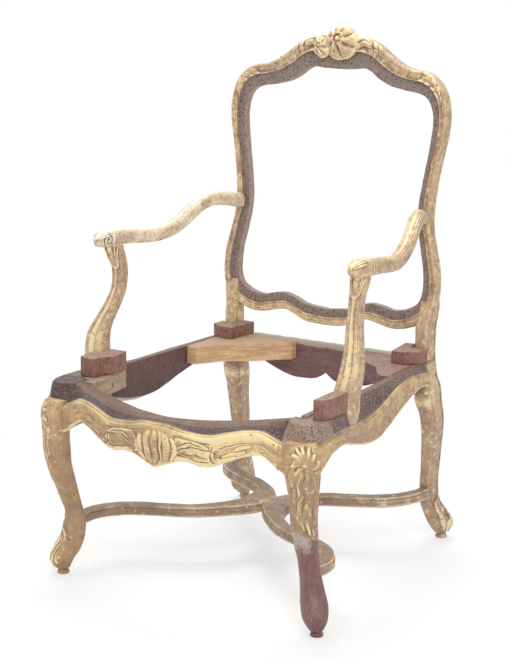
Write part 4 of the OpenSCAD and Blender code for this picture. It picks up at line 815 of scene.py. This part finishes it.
def block(low, high, edge):
    """A squared block with softened edges, as rings of a superellipse drawn in at both ends."""
    low, high = np.array(low, float), np.array(high, float)
    tall, middle = high[2] - low[2], (low + high) / 2
    z = np.concatenate([[0, 0.2 * edge, edge], np.linspace(edge, tall - edge, 14)[1:-1]])
    z = np.concatenate([z, tall - z[:3][::-1]])
    near_end = 1 - np.clip(np.minimum(z, tall - z) / edge, 0, 1)
    draw = edge * (1 - np.sqrt(np.clip(1 - near_end ** 2, 0, 1)))
    turn = round_angles(96)
    w, d = (high[0] - low[0]) / 2 - draw[:, None], (high[1] - low[1]) / 2 - draw[:, None]
    p = np.stack([
        middle[0] + w * power(np.cos(turn), SQUARER), middle[1] + d * power(np.sin(turn), SQUARER),
        low[2] + z[:, None] + 0 * turn], -1)
    return worked(p, 0.3, 30, 41)


def back_edge(rows, column):
    """One edge of the back frame, from two neighbouring columns of its table."""
    return np.stack([rows[:, column] * BACK_W / 2, rows[:, column + 1] * BACK_H], -1)


def back_skin(rows):
    """The back's moulding: a round outer bead, a quirk, a hollow falling to the inner fillet, and
    the sunken rebate behind it. Rows run round the back, from its table of outer and inner edges."""
    outer, inner = back_edge(rows, 0), back_edge(rows, 2)

    def at(share, depth):
        q = mix(outer, inner, share)
        return np.stack([q[:, 0], depth + 0 * q[:, 0], q[:, 1]], -1)

    corners = np.stack([
        at(0, FRAME_T), at(0, 6.5), at(0.03, 2.6), at(0.08, 0.4), at(0.15, 0.2), at(0.19, 2.2),
        at(0.225, 1.2), at(0.32, 3.2), at(0.385, 3.8), at(0.42, 2.6), at(0.45, 0.2), at(0.475, 0.8),
        at(0.48, REBATE), at(0.98, REBATE), at(1.0, REBATE + 1.5), at(1.0, FRAME_T)], axis=1)
    return section(corners, (10, 4, 4, 4, 5, 5, 5, 5, 3, 3, 3, 4, 14, 2, 9, 16), 2)


CREST_LOBES = [
    [44, 19, 74, 27, 4, 8, 2.2], [46, 10, 82, 15, 5, 8, 2.4], [48, 1, 76, -2, 3, 7, 2.0]]
CREST_SLITS = [
    [78, 27, 86, -2, 5, 1.5, 2.4], [94, 26, 100, 0, 5, 1.2, 1.6], [46, 15, 78, 19, 4, 1.2, 1.8],
    [48, 6, 78, 7, 4, 1.2, 1.8], [60, 24, 76, 24, 2, 1.0, 1.4]]
EAR_LOBES = [
    [-36, 4, -8, 10, 4, 7, 1.8], [-18, 3, 8, 12, 5, 7, 2.0], [0, 3, 26, 11, 5, 7, 2.0],
    [16, 3, 44, 7, 4, 6, 1.6]]


def crest_carving(side, rows):
    """Leaf work of the crest, laid out along the back's edge and by the distance over its
    moulding: leaves from the shell outwards, and a leaf over each upper corner."""
    outer = back_edge(rows, 0)
    run = length_along(outer)
    run = np.abs(run - run[len(run) // 2])[:, None]
    to_corner = length_along(outer[len(outer) // 2:][:UPPER_CORNER * BACK_STEPS + 1])[-1]
    over = (11.0 - side)[None] * 2.6
    ear = lobes(run - to_corner, over * 0.9, EAR_LOBES)
    return (leaf_work(run, over, CREST_LOBES, CREST_SLITS) + ear) * window(side, 1.2, 10.4, 0.6)[None]


def back_piece(first, last, whole, seed):
    """One run of the back frame between two seams, on the right side or whole across."""
    rows = curve(BACK_SHARES, BACK_STEPS)[first * BACK_STEPS:last * BACK_STEPS + 1]
    left = rows * [-1, 1, -1, 1]
    if whole and first == 0:
        rows = np.concatenate([left[::-1], rows[1:]])
    elif whole:
        rows = np.concatenate([left, rows[::-1][1:]])
    p, side = back_skin(rows)
    carve = crest_carving(side, rows) if first == 0 else 0 * p[..., 0]
    p = worked(p, 0.3, 50, seed, carve)
    gilt = np.tile(window(side, 0.5, 11.3, 0.3) + 0.75 * window(side, 0.0, 0.6, 0.3), (len(p), 1))
    tack = 0.72 * np.tile(window(side, 11.6, 13.2, 0.2), (len(p), 1))
    return on_back(p), np.clip(gilt, 0, 1), tack


def rear_leg():
    """Rear leg from foot to neck in one curve, carved with a leaf on its foot and with a
    quirk down each of its corners; the squared joint block and the ear that meets the side rail."""
    s = curve(REAR_LEG_SHARES, 9)
    p, turn = square_rings(REAR_FOOT[0] + REAR_SWAY * s[:, 0], REAR_FOOT[1] + REAR_SWAY * s[:, 1],
                           SEAT_H * s[:, 2], POST_W * s[:, 3], POST_D * s[:, 4])
    z = p[..., 2]
    around = POST_W / 2 * np.abs(angle_from(turn, math.pi / 6))
    below_and_above = window(z, 84, 320, 20) + window(z, SEAT_H + 13, SEAT_H + 98, 10)
    quirks = groove(np.abs(np.cos(turn)), 0.80, 0.07, 0.8) * below_and_above
    p = worked(p, 0.4, 50, 51, lobes(around, z, TOE_LOBES) + quirks)
    steps = np.linspace(0, 1, 9)
    one = np.ones(len(steps))
    y = mix(JOINT[1], BLOCK_Y + 1, steps)
    outside = np.column_stack([mix(SEAT_BACK_W / 2, POST[0] + BLOCK[0] / 2 - 1, steps ** 2), y])
    inside = np.column_stack([side_in_x(JOINT[1]) * one, y])
    ear, side = rail_skin(inside, outside, 0.42 * one, SEAT_H * one,
                          (SEAT_H - TACK_DROP * 0.95) * one, (SEAT_H - SIDE_APRON * 0.62) * one)
    low = np.append(POST - BLOCK[:2] / 2, SEAT_H - BLOCK[2])
    body = block(low, np.append(POST + BLOCK[:2] / 2, SEAT_H), 2.5)
    outer_face = 1 - window(body[..., 0], POST[0] - 30, POST[0] + 12, 3)
    back_face = window(body[..., 1], POST[1] + 16, POST[1] + 40, 3)
    body_gilt = np.maximum(outer_face, back_face) * window(body[..., 2], 0, SEAT_H - 10, 4)
    gilt, tack = rail_masks(side, len(ear))
    return [(p, 1.0, 0.0), (ear, gilt, tack),
            (body, body_gilt, 0.5 * ramp(body[..., 2], SEAT_H - 12, SEAT_H - 2))]


# Arms and supports

# Sweep, length from the front, climb, width and height
ARM_SHARES = [
    [0.98, -0.066, 0.20, 0.20, 0.20], [0.98, -0.060, 0.20, 0.52, 0.46], [0.98, -0.045, 0.20, 0.80, 0.72],
    [1.00, -0.02, 0.21, 1.10, 1.00], [1.01, 0.03, 0.21, 1.25, 1.10], [1.03, 0.10, 0.19, 1.16, 1.06],
    [1.05, 0.20, 0.13, 1.05, 1.00], [1.01, 0.30, 0.05, 1.00, 0.96], [0.91, 0.387, 0.01, 0.98, 0.94],
    [0.81, 0.469, 0.05, 0.97, 0.94], [0.72, 0.55, 0.19, 0.97, 0.95], [0.65, 0.615, 0.40, 0.97, 0.97],
    [0.575, 0.678, 0.65, 0.97, 0.98], [0.48, 0.744, 0.875, 0.97, 0.98], [0.36, 0.816, 0.98, 0.97, 0.97],
    [0.20, 0.884, 0.94, 0.98, 0.96], [0.06, 0.945, 0.86, 1.00, 0.98], [0.00, 0.985, 0.825, 1.04, 1.02]]
ARM_L, ARM_SWEEP, ARM_CLIMB, ARM_W, ARM_RISE = 392, 72, 60, 28, 239
ARM_BACK_X = 0.85 * BACK_W / 2
ARM_LOW_Z = SEAT_H + ARM_RISE + 1
ARM_END_Z = ARM_LOW_Z + ARM_CLIMB * 0.82
ARM_END_Y = BACK_Y + (ARM_END_Z - BACK_Z) * math.tan(RAKE)
# Sway to the side and to the back, rise, width and depth
SUPPORT_SHARES = [
    [0.86, 0.02, -0.126, 0.60, 0.50], [0.90, 0.01, -0.122, 1.05, 0.95], [0.95, 0.00, -0.090, 1.20, 1.16],
    [0.99, 0.00, -0.045, 1.26, 1.27], [1.00, 0.00, 0.000, 1.30, 1.32], [1.02, 0.01, 0.075, 1.31, 1.31],
    [1.14, 0.05, 0.150, 1.30, 1.28], [1.30, 0.12, 0.220, 1.26, 1.20], [1.32, 0.21, 0.290, 1.20, 1.10],
    [1.18, 0.33, 0.350, 1.12, 1.02], [0.92, 0.48, 0.410, 1.02, 0.95], [0.62, 0.63, 0.475, 0.94, 0.90],
    [0.36, 0.75, 0.535, 0.88, 0.86], [0.13, 0.86, 0.600, 0.83, 0.83], [0.03, 0.94, 0.670, 0.80, 0.80],
    [0.03, 0.985, 0.740, 0.80, 0.79], [0.14, 1.00, 0.815, 0.83, 0.82], [0.41, 0.985, 0.880, 0.88, 0.88],
    [0.70, 0.94, 0.955, 0.94, 0.96], [0.80, 0.90, 1.000, 0.97, 1.00]]
# How far the supports stand in from the arms' full sweep, and their curve starts in from there
SIDE_SET, CURVE_SET = 11, 8
SUPPORT_X, SUPPORT_W, SUPPORT_SWAY, SIDE_SWAY = ARM_BACK_X + ARM_SWEEP - SIDE_SET, 34, 61, 14.5
SUPPORT_Y = mix(CORNER[1], JOINT[1], 0.182)
# The arm's first rows, up to STRAIGHT_ROWS, all point the way that row KNUCKLE_ROWS does. Its
# scroll's eye and two collar grooves lie this far from its front, and the scroll's turns this far apart
STRAIGHT_ROWS, KNUCKLE_ROWS, SCROLL_EYE, SCROLL_PITCH, COLLARS = 20, 34, 25, 9, (50, 58)
KNUCKLE_LOBES = [
    [2, 0, 34, 0, 0, 4, 2.4], [2, 7, 32, 8, 0, 3.8, 2.2], [4, 14, 28, 15, 0, 3.8, 2.0],
    [38, 0, 86, 0, 0, 5, 1.4], [40, 6, 66, 10, 2, 4, 1.2]]
HEAD_LOBES = [
    [0, 200, 0, 241, 0, 4.4, 3.0], [3, 200, 11, 241, 1, 4.4, 2.8], [7, 203, 19, 236, 2, 4.2, 2.4]]


def arm():
    """Right arm: a rounded square section swept along its rising curve, with a quirk along each
    side of its top, a scroll cut into the knuckle's inner face, flutes over its front and two
    collar grooves behind it."""
    s = curve(ARM_SHARES, 11)
    path = np.column_stack([ARM_BACK_X + ARM_SWEEP * s[:, 0], ARM_END_Y - ARM_L * (1 - s[:, 1]),
                            ARM_LOW_Z + ARM_CLIMB * s[:, 2]])
    to = np.gradient(path, axis=0)
    own = ramp(np.arange(KNUCKLE_ROWS), STRAIGHT_ROWS, KNUCKLE_ROWS)[:, None]
    to[:KNUCKLE_ROWS] = to[KNUCKLE_ROWS] * (1 - own) + to[:KNUCKLE_ROWS] * own
    to = to / np.linalg.norm(to, axis=1, keepdims=True)
    aside = np.stack([to[:, 1], -to[:, 0], 0 * to[:, 0]], -1)
    aside = aside / np.linalg.norm(aside, axis=1, keepdims=True)
    up = np.cross(aside, to)
    turn = round_angles(72)
    w = s[:, [3]] * ARM_W / 2 * power(np.cos(turn), SQUARE)
    h = s[:, [4]] * ARM_W / 2 * power(np.sin(turn), SQUARE)
    p = path[:, None] + aside[:, None] * w[..., None] + up[:, None] * h[..., None]
    run = length_along(path)[:, None]
    quirks = groove(turn, 0.95, 0.08, 1.6) + groove(turn, math.pi - 0.95, 0.08, 1.6)
    quirks = quirks * window(run, 62, 400, 12)
    quirks = quirks + groove(run, COLLARS[0], 1.6, 1.6) + groove(run, COLLARS[1], 1.4, 1.2)
    r, spin = np.hypot(run - SCROLL_EYE, h), np.arctan2(h, run - SCROLL_EYE)
    scroll = -1.6 * (0.5 + 0.5 * np.cos(2 * math.pi * r / SCROLL_PITCH - spin)) * (1 - ramp(r, 13, 17))
    scroll = scroll * ramp(-np.cos(turn), 0.72, 0.92)
    over = (turn - math.pi / 2) * ARM_W / 2
    leaves = lobes(run, np.abs(over), KNUCKLE_LOBES) * ramp(np.sin(turn), -0.1, 0.3)
    return worked(p, 0.3, 45, 61, quirks + scroll + leaves)


def support():
    """Right arm support: a swaying post that flares to its base and laps over the rail's tack
    band, with quirks between its front and back facets and its side strands, and a leaf at its
    head."""
    s = curve(SUPPORT_SHARES, 11)[::-1]
    p, turn = square_rings(SUPPORT_X - CURVE_SET + SIDE_SWAY * s[:, 0], SUPPORT_Y + SUPPORT_SWAY * s[:, 1],
                           SEAT_H + (ARM_RISE + 3) * s[:, 2], SUPPORT_W * s[:, 3], SUPPORT_W * s[:, 4])
    z = p[..., 2] - SEAT_H
    off = np.abs(angle_from(turn, 1.5 * math.pi))
    quirks = groove(off, 0.80, 0.06, 0.7) + groove(off, 2.3, 0.08, 0.5)
    quirks = quirks * window(z, -16, 200, 8)
    leaves = lobes(off * SUPPORT_W / 2, z + 0 * off, HEAD_LOBES) * (1 - ramp(off, 1.2, 1.6))
    return worked(p, 0.35, 40, 71, quirks + leaves)


# Stretcher

# Reach to the side, length from the front and width
STRETCHER_SHARES = [
    [1.000, 0.020, 0.80], [1.000, 0.040, 0.80], [1.000, 0.095, 0.95], [0.950, 0.152, 1.02],
    [0.855, 0.205, 1.05], [0.696, 0.248, 1.00], [0.522, 0.283, 1.00], [0.380, 0.322, 1.05],
    [0.265, 0.372, 1.12], [0.162, 0.435, 1.45], [0.096, 0.505, 1.90], [0.100, 0.560, 1.90],
    [0.135, 0.612, 1.45], [0.195, 0.652, 1.10], [0.290, 0.690, 1.00], [0.418, 0.720, 1.00],
    [0.557, 0.752, 1.00], [0.696, 0.799, 1.00], [0.793, 0.862, 0.95], [0.842, 0.935, 0.80],
    [0.842, 0.970, 0.80]]
STRETCHER_Z, STRETCHER_W, STRETCHER_T = 100, 30, 22
ANKLE = FRONT_FOOT + FRONT_SWAY * np.array([-0.75, 0.42])
REAR_ANKLE = REAR_FOOT + REAR_SWAY * np.array([-0.45, -0.89])


def stretcher():
    """Right stretcher curve: a flat bar with a bead and a fillet along both upper edges, cut off
    flat on the chair's middle, where it meets its twin."""
    s = curve(STRETCHER_SHARES, 12)
    rear_reach = REAR_ANKLE[0] / STRETCHER_SHARES[-1][0]
    path = np.column_stack([s[:, 0] * mix(ANKLE[0], rear_reach, s[:, 1]),
                            mix(ANKLE[1], REAR_ANKLE[1], s[:, 1])])
    to = np.gradient(path, axis=0)
    aside = np.column_stack([to[:, 1], -to[:, 0]]) / np.linalg.norm(to, axis=1, keepdims=True)
    half = STRETCHER_W * s[:, 2] / 2

    def at(sign, inset, z):
        q = path + aside * (sign * (half - inset))[:, None]
        return np.column_stack([q, STRETCHER_Z + z + 0 * half])

    t = STRETCHER_T
    edge = [(0, t - 8), (1.6, t - 7), (1.2, t - 3), (3.6, t - 0.6), (5.4, t - 1.6), (6.4, t)]
    outer, inner = [at(1, *place) for place in edge], [at(-1, *place) for place in edge[::-1]]
    corners = np.stack([at(-1, 0, 0), at(1, 0, 0), *outer, *inner], axis=1)
    p, _ = section(corners, (14, 7, 2, 2, 3, 2, 2, 9, 2, 2, 3, 2, 2, 7), 2)
    p = worked(p, 0.4, 45, 81)
    p[..., 0] = np.maximum(p[..., 0], GAP / 2)
    return p


# Plain boards and blocks

def sawn(node, outline, low, high, finish, edge, seed):
    """A board or block: an outline seen from above, raised from low to high, its corners a little
    out of true and its edges broken by a small bevel."""
    draw = np.random.default_rng(seed)
    ring = np.asarray(outline, float)
    n = len(ring)
    lower = np.column_stack([ring + draw.uniform(-0.3, 0.3, ring.shape), np.full(n, low)])
    upper = np.column_stack([ring + draw.uniform(-0.5, 0.5, ring.shape), high + draw.uniform(-0.7, 0.2, n)])
    k = np.arange(n)
    sides = np.stack([k, (k + 1) % n, (k + 1) % n + n, k + n], -1)
    area = (ring[:, 0] * np.roll(ring[:, 1], -1) - np.roll(ring[:, 0], -1) * ring[:, 1]).sum()
    faces = [*sides.tolist(), k[::-1].tolist(), (k + n).tolist()]
    faces = faces if area > 0 else [f[::-1] for f in faces]
    mesh = bpy.data.meshes.new(node + "_sawn")
    mesh.from_pydata((np.concatenate([lower, upper]) * MM).tolist(), [], faces)
    bevel = placed(node + "_sawn", mesh, finish, node).modifiers.new("edges", "BEVEL")
    bevel.width, bevel.segments, bevel.limit_method = edge * MM, 3, "ANGLE"


# Half width of the back rail, and its depth below the seat's top
PLANK_SHARES = [
    [0, 0.76], [0.10, 0.95], [0.21, 1.00], [0.32, 1.01], [0.43, 0.98], [0.55, 0.88], [0.70, 0.72],
    [0.85, 0.60], [1.00, 0.56]]


def back_rail():
    """Plain back rail: a plank with two lobes along its lower edge and a worn, chipped top."""
    shares = curve(PLANK_SHARES, 16)
    s = np.concatenate([shares[::-1] * [-1, 1], shares[1:]])
    x, low = s[:, 0] * JOINT[0], SEAT_H - SIDE_APRON * s[:, 1]
    y0, y1 = BACK_RAIL_Y, BACK_RAIL_Y + BACK_RAIL_T
    chips = -1.6 * np.clip(wobble(np.column_stack([x, 0 * x, 0 * x]), 34, 91), 0, 1)
    corners = np.stack([np.column_stack([x, y + 0 * x, z]) for y, z in (
        (y0, low), (y0, SEAT_H + chips), (y1, SEAT_H + 0.4 * chips), (y1, low))], axis=1)
    p, _ = section(corners, (30, 12, 30, 12), 2)
    return worked(p, 0.4, 35, 92)


SUPPORT_FOOT = np.array([38, 44])
# Outlines of the blocks, in shares of the support's foot or of the rear leg's block
LEFT_BLOCK = [[-0.10, -1.57], [-0.70, -1.72], [-1.11, -1.72], [-1.20, -1.18], [-1.58, -0.73], [-1.46, 0.33],
              [-0.44, 0.33], [-0.44, -0.54], [-0.02, -0.54]]
RIGHT_BLOCK = [[-0.05, -2.36], [0.42, -2.20], [0.60, -1.90], [0.60, -0.54], [-0.10, -0.54]]
REAR_BLOCK = [[-0.90, -1.87], [-0.15, -1.79], [0.50, -1.40], [0.50, -0.54], [-0.48, -0.54], [-0.48, 0.20],
              [-1.13, 0.20]]
BRACE_H, BLOCK_H, REAR_BLOCK_H = 38, 38, 26
# How far the braces reach along the side rails, where the rear ones end along the back rail and how
# wide they are there, how wide all are at the side rails, and how far the left front one reaches in
FRONT_REACH, REAR_REACH, REAR_END_X, REAR_END_W, SIDE_END_W, FRONT_END = 104, 141, 71, 18, 23, 24
# How deep the front braces are from the corner back, at their end and in their hollow, and how far
# out from the corner the slim right one begins
END_DEEP, HOLLOW_DEEP, SLIM_SET = 31, 52, 4


def front_in_y(x):
    """Inner face of the front rail at x."""
    rows = curve(FRONT_SHARES, 8)
    return FACE_Y + RAIL_T - INNER_BOW * np.interp(x / CORNER[0], rows[:, 0], rows[:, 2])


def boards():
    """The four corner braces and the four tacking blocks."""
    far, near = CORNER[1] + FRONT_REACH, JOINT[1] - REAR_REACH
    far_x, end_x, slim_x = side_in_x(far) - SIDE_END_W, CORNER[0] - FRONT_END, CORNER[0] + SLIM_SET
    inside, mirror = side_in_x(BLOCK_Y) - GAP, np.array([-1, 1])
    shared = [[side_in_x(CORNER[1]) - GAP, CORNER[1] + GAP], [side_in_x(far) - GAP, far], [far_x, far]]
    wide = np.array([
        [end_x, front_in_y(end_x) + 2 * GAP], [CORNER[0] - GAP, front_in_y(CORNER[0]) + 2 * GAP],
        [CORNER[0] - GAP, CORNER[1] + GAP], *shared,
        [mix(far_x, end_x, 0.45), CORNER[1] + HOLLOW_DEEP], [end_x, CORNER[1] + END_DEEP]])
    slim = np.array([[slim_x, CORNER[1] + GAP], *shared, [slim_x, CORNER[1] + HOLLOW_DEEP]])
    rear = np.array([
        [side_in_x(near) - SIDE_END_W, near], [side_in_x(near) - GAP, near], [inside, BLOCK_Y - GAP],
        [JOINT[0] - GAP, BLOCK_Y - GAP], [JOINT[0] - GAP, BACK_RAIL_Y - GAP],
        [REAR_END_X, BACK_RAIL_Y - GAP], [REAR_END_X, BACK_RAIL_Y - REAR_END_W],
        [mix(REAR_END_X, inside, 0.4), mix(near, BACK_RAIL_Y, 0.52)],
        [mix(REAR_END_X, inside, 0.7), mix(near, BACK_RAIL_Y, 0.32)]])
    for node, outline, finish, slot, edge, seed in (
            ("front_brace_left", wide * mirror, old_pine, "new_wood", 1.2, 2),
            ("front_brace_right", slim, beech, "bare_beech", 1.2, 3),
            ("rear_brace_left", rear * mirror, new_pine, "new_wood", 1.0, 4),
            ("rear_brace_right", rear, beech, "bare_beech", 1.2, 5)):
        sawn(node, outline, SEAT_H - BRACE_H, SEAT_H, finish, edge, seed)
    foot, behind = np.array([SUPPORT_X, SUPPORT_Y]), POST + BLOCK[:2] * REAR_BLOCK
    for node, outline, high, edge, seed in (
            ("front_block_left", (foot + SUPPORT_FOOT * LEFT_BLOCK) * mirror, BLOCK_H, 2.4, 6),
            ("front_block_right", foot + SUPPORT_FOOT * RIGHT_BLOCK, BLOCK_H, 1.4, 7),
            ("rear_block_left", behind * mirror, REAR_BLOCK_H, 1.8, 8),
            ("rear_block_right", behind, REAR_BLOCK_H, 1.8, 9)):
        sawn(node, outline, SEAT_H, SEAT_H + high, block_beech, edge, seed)


# The chair put together

def pair(stem, ending, parts, finish, foot=None):
    """The same piece on both sides. Each part holds a tube's points on the right side and then its
    finishing values, and foot is where a pad stands under the piece."""
    for side, way in (("right", 1), ("left", -1)):
        tubes = [tube(p * np.array([way, 1, 1]), *values) for p, *values in parts]
        if foot is not None:
            tubes.append(pad(foot * [way, 1]))
        piece(stem + "_" + side, ending, tubes, finish)


middle_shell = shell([4, 8 - DEPTH / 2, SEAT_H - FRONT_APRON + 37], [1, 0, 0], [0, -1, 0],
                     wide=92, high=80, deep=13, ribs=gadroons, seed=1, draw=0.35)
# The middle shell's bright value raises the painted highlight on its ribs
piece("front_rail", "carved", [front_rail(), tube(middle_shell, bright=0.5)], gilt_seat)
front_legs()
pair("side_rail", "moulded", [side_rail()], gilt_seat)
stile = back_piece(CREST_SEAM, BOTTOM_SEAM, False, 101)
pair("rear_leg", "carved", [*rear_leg(), stile], gilt_back, REAR_FOOT)

crown = shell([9, 3, BACK_H - 17], [1, 0, 0], [0, -1, 0],
              wide=74, high=68, deep=18, ribs=petals, seed=4)
rosette = shell([-37, 2, BACK_H - 27], [0.9, 0, 0.43], [0, -1, 0],
                wide=38, high=44, deep=12, ribs=petals, seed=5)
crest = back_piece(0, CREST_SEAM, True, 102)
# The crown's and rosette's bright values raise the painted highlight on their petals
piece("crest_rail", "carved",
      [tube(*crest), tube(on_back(crown), bright=0.42), tube(on_back(rosette), bright=0.6)],
      gilt_back)
low_rail = back_piece(BOTTOM_SEAM, len(BACK_SHARES) - 1, True, 103)
piece("back_bottom_rail", "carved", [tube(*low_rail)], gilt_back)
plank = back_rail()
smeared = 0.95 * ramp(plank[..., 2], SEAT_H - 16, SEAT_H - 3)
piece("back_rail", "planed", [tube(plank, smeared)], beech)

right_arm = arm()
# The bright values raise the painted highlight on the arms' arrises, more on the left arm
piece("arm_right", "carved", [tube(right_arm, bright=0.15)], gilt_back)
piece("arm_left", "carved", [tube(mirrored(right_arm), bright=0.2)], gilt_left_arm)
pair("arm_support", "carved", [(support(),)], gilt_back)
pair("stretcher", "moulded", [(stretcher(),)], gilt_worn)
boards()

for finish, names in (
        (peg_oak, ("splice_dowel", "back_frame_pegs", "seat_frame_pegs", "arm_pegs", "stretcher_pegs")),
        (iron, ("support_screws", "brace_nails", "block_nails"))):
    for name in names:
        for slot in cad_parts[name].material_slots:
            slot.material = finish


# Camera, light and floor

def aimed(name, data, at, aim):
    """A lamp or camera that stands at one point and looks at another."""
    made = linked(name, data)
    made.location = at
    made.rotation_euler = (Vector(aim) - Vector(at)).to_track_quat("-Z", "Y").to_euler()
    return made


def lamp(name, at, aim, size, power_w):
    """A soft, square, white lamp."""
    data = bpy.data.lights.new(name, "AREA")
    data.shape, data.size, data.energy = "SQUARE", size, power_w
    aimed(name, data, at, aim)


# The photo's focal length and height in pixels, the sensor's side along that height in mm, and the
# camera's place and aim that the photo's lines gave
FOCAL_PX, PHOTO_PX, SENSOR = 1693, 661, 36
CAMERA_AT, CAMERA_AIM = (1.7544, -2.7454, 1.2294), (0.0114, -0.0215, 0.4893)

lens = bpy.data.cameras.new("camera")
lens.lens, lens.sensor_width, lens.clip_end = SENSOR * FOCAL_PX / PHOTO_PX, SENSOR, 50
bpy.context.scene.camera = aimed("camera", lens, CAMERA_AT, CAMERA_AIM)

lamp("key", (2.6, -2.6, 3.4), (0, 0, 0.5), 2.0, 84)
lamp("fill", (-2.8, -2.8, 2.4), (0, 0, 0.4), 2.6, 16)
lamp("top", (-0.6, 0.8, 3.6), (0, 0, 0.5), 2.0, 60)

world = bpy.data.worlds.new("studio")
bpy.context.scene.world = world
world.use_nodes = True
tree = world.node_tree
soft = tree.nodes["Background"]
soft.inputs["Color"].default_value, soft.inputs["Strength"].default_value = colour("#ffffff"), 0.55
white = add(tree, "ShaderNodeBackground", {"Color": colour("#ffffff"), "Strength": 1.0})
seen = 0.0
for kind in ("Is Camera Ray", "Is Glossy Ray", "Is Transmission Ray"):
    ray = add(tree, "ShaderNodeLightPath", out=kind)
    seen = add(tree, "ShaderNodeMath", {0: ray, 1: seen}, operation="ADD", use_clamp=True)
both = add(tree, "ShaderNodeMixShader", {0: seen, 1: soft.outputs[0], 2: white})
tree.links.new(both, tree.nodes["World Output"].inputs[0])

floor_mesh = bpy.data.meshes.new("floor")
floor_mesh.from_pydata([(-30, -30, 0), (30, -30, 0), (30, 30, 0), (-30, 30, 0)], [], [(0, 1, 2, 3)])
floor = linked("floor", floor_mesh)
# White paper that keeps a soft shadow round the feet and turns to plain white away from them
paper, tree, shader, place = new_finish("white_paper_floor", 0.9)
shader.inputs["Base Color"].default_value = colour("#ffffff")
lit = add(tree, "ShaderNodeEmission", {"Color": colour("#ffffff"), "Strength": 1.0})
away = add(tree, "ShaderNodeVectorMath", {0: place}, "Value", operation="LENGTH")
plain = add(tree, "ShaderNodeMapRange", {0: away, 1: 0.35, 2: 1.1, 3: 0.55, 4: 1.0},
            interpolation_type="SMOOTHSTEP")
seen = add(tree, "ShaderNodeMath", {0: add(tree, "ShaderNodeLightPath", out="Is Camera Ray"), 1: plain},
           operation="MULTIPLY")
faded = add(tree, "ShaderNodeMixShader", {0: seen, 1: shader.outputs[0], 2: lit})
tree.links.new(faded, tree.nodes["Material Output"].inputs[0])
floor_mesh.materials.append(paper)

bpy.context.scene.view_settings.view_transform = "Standard"
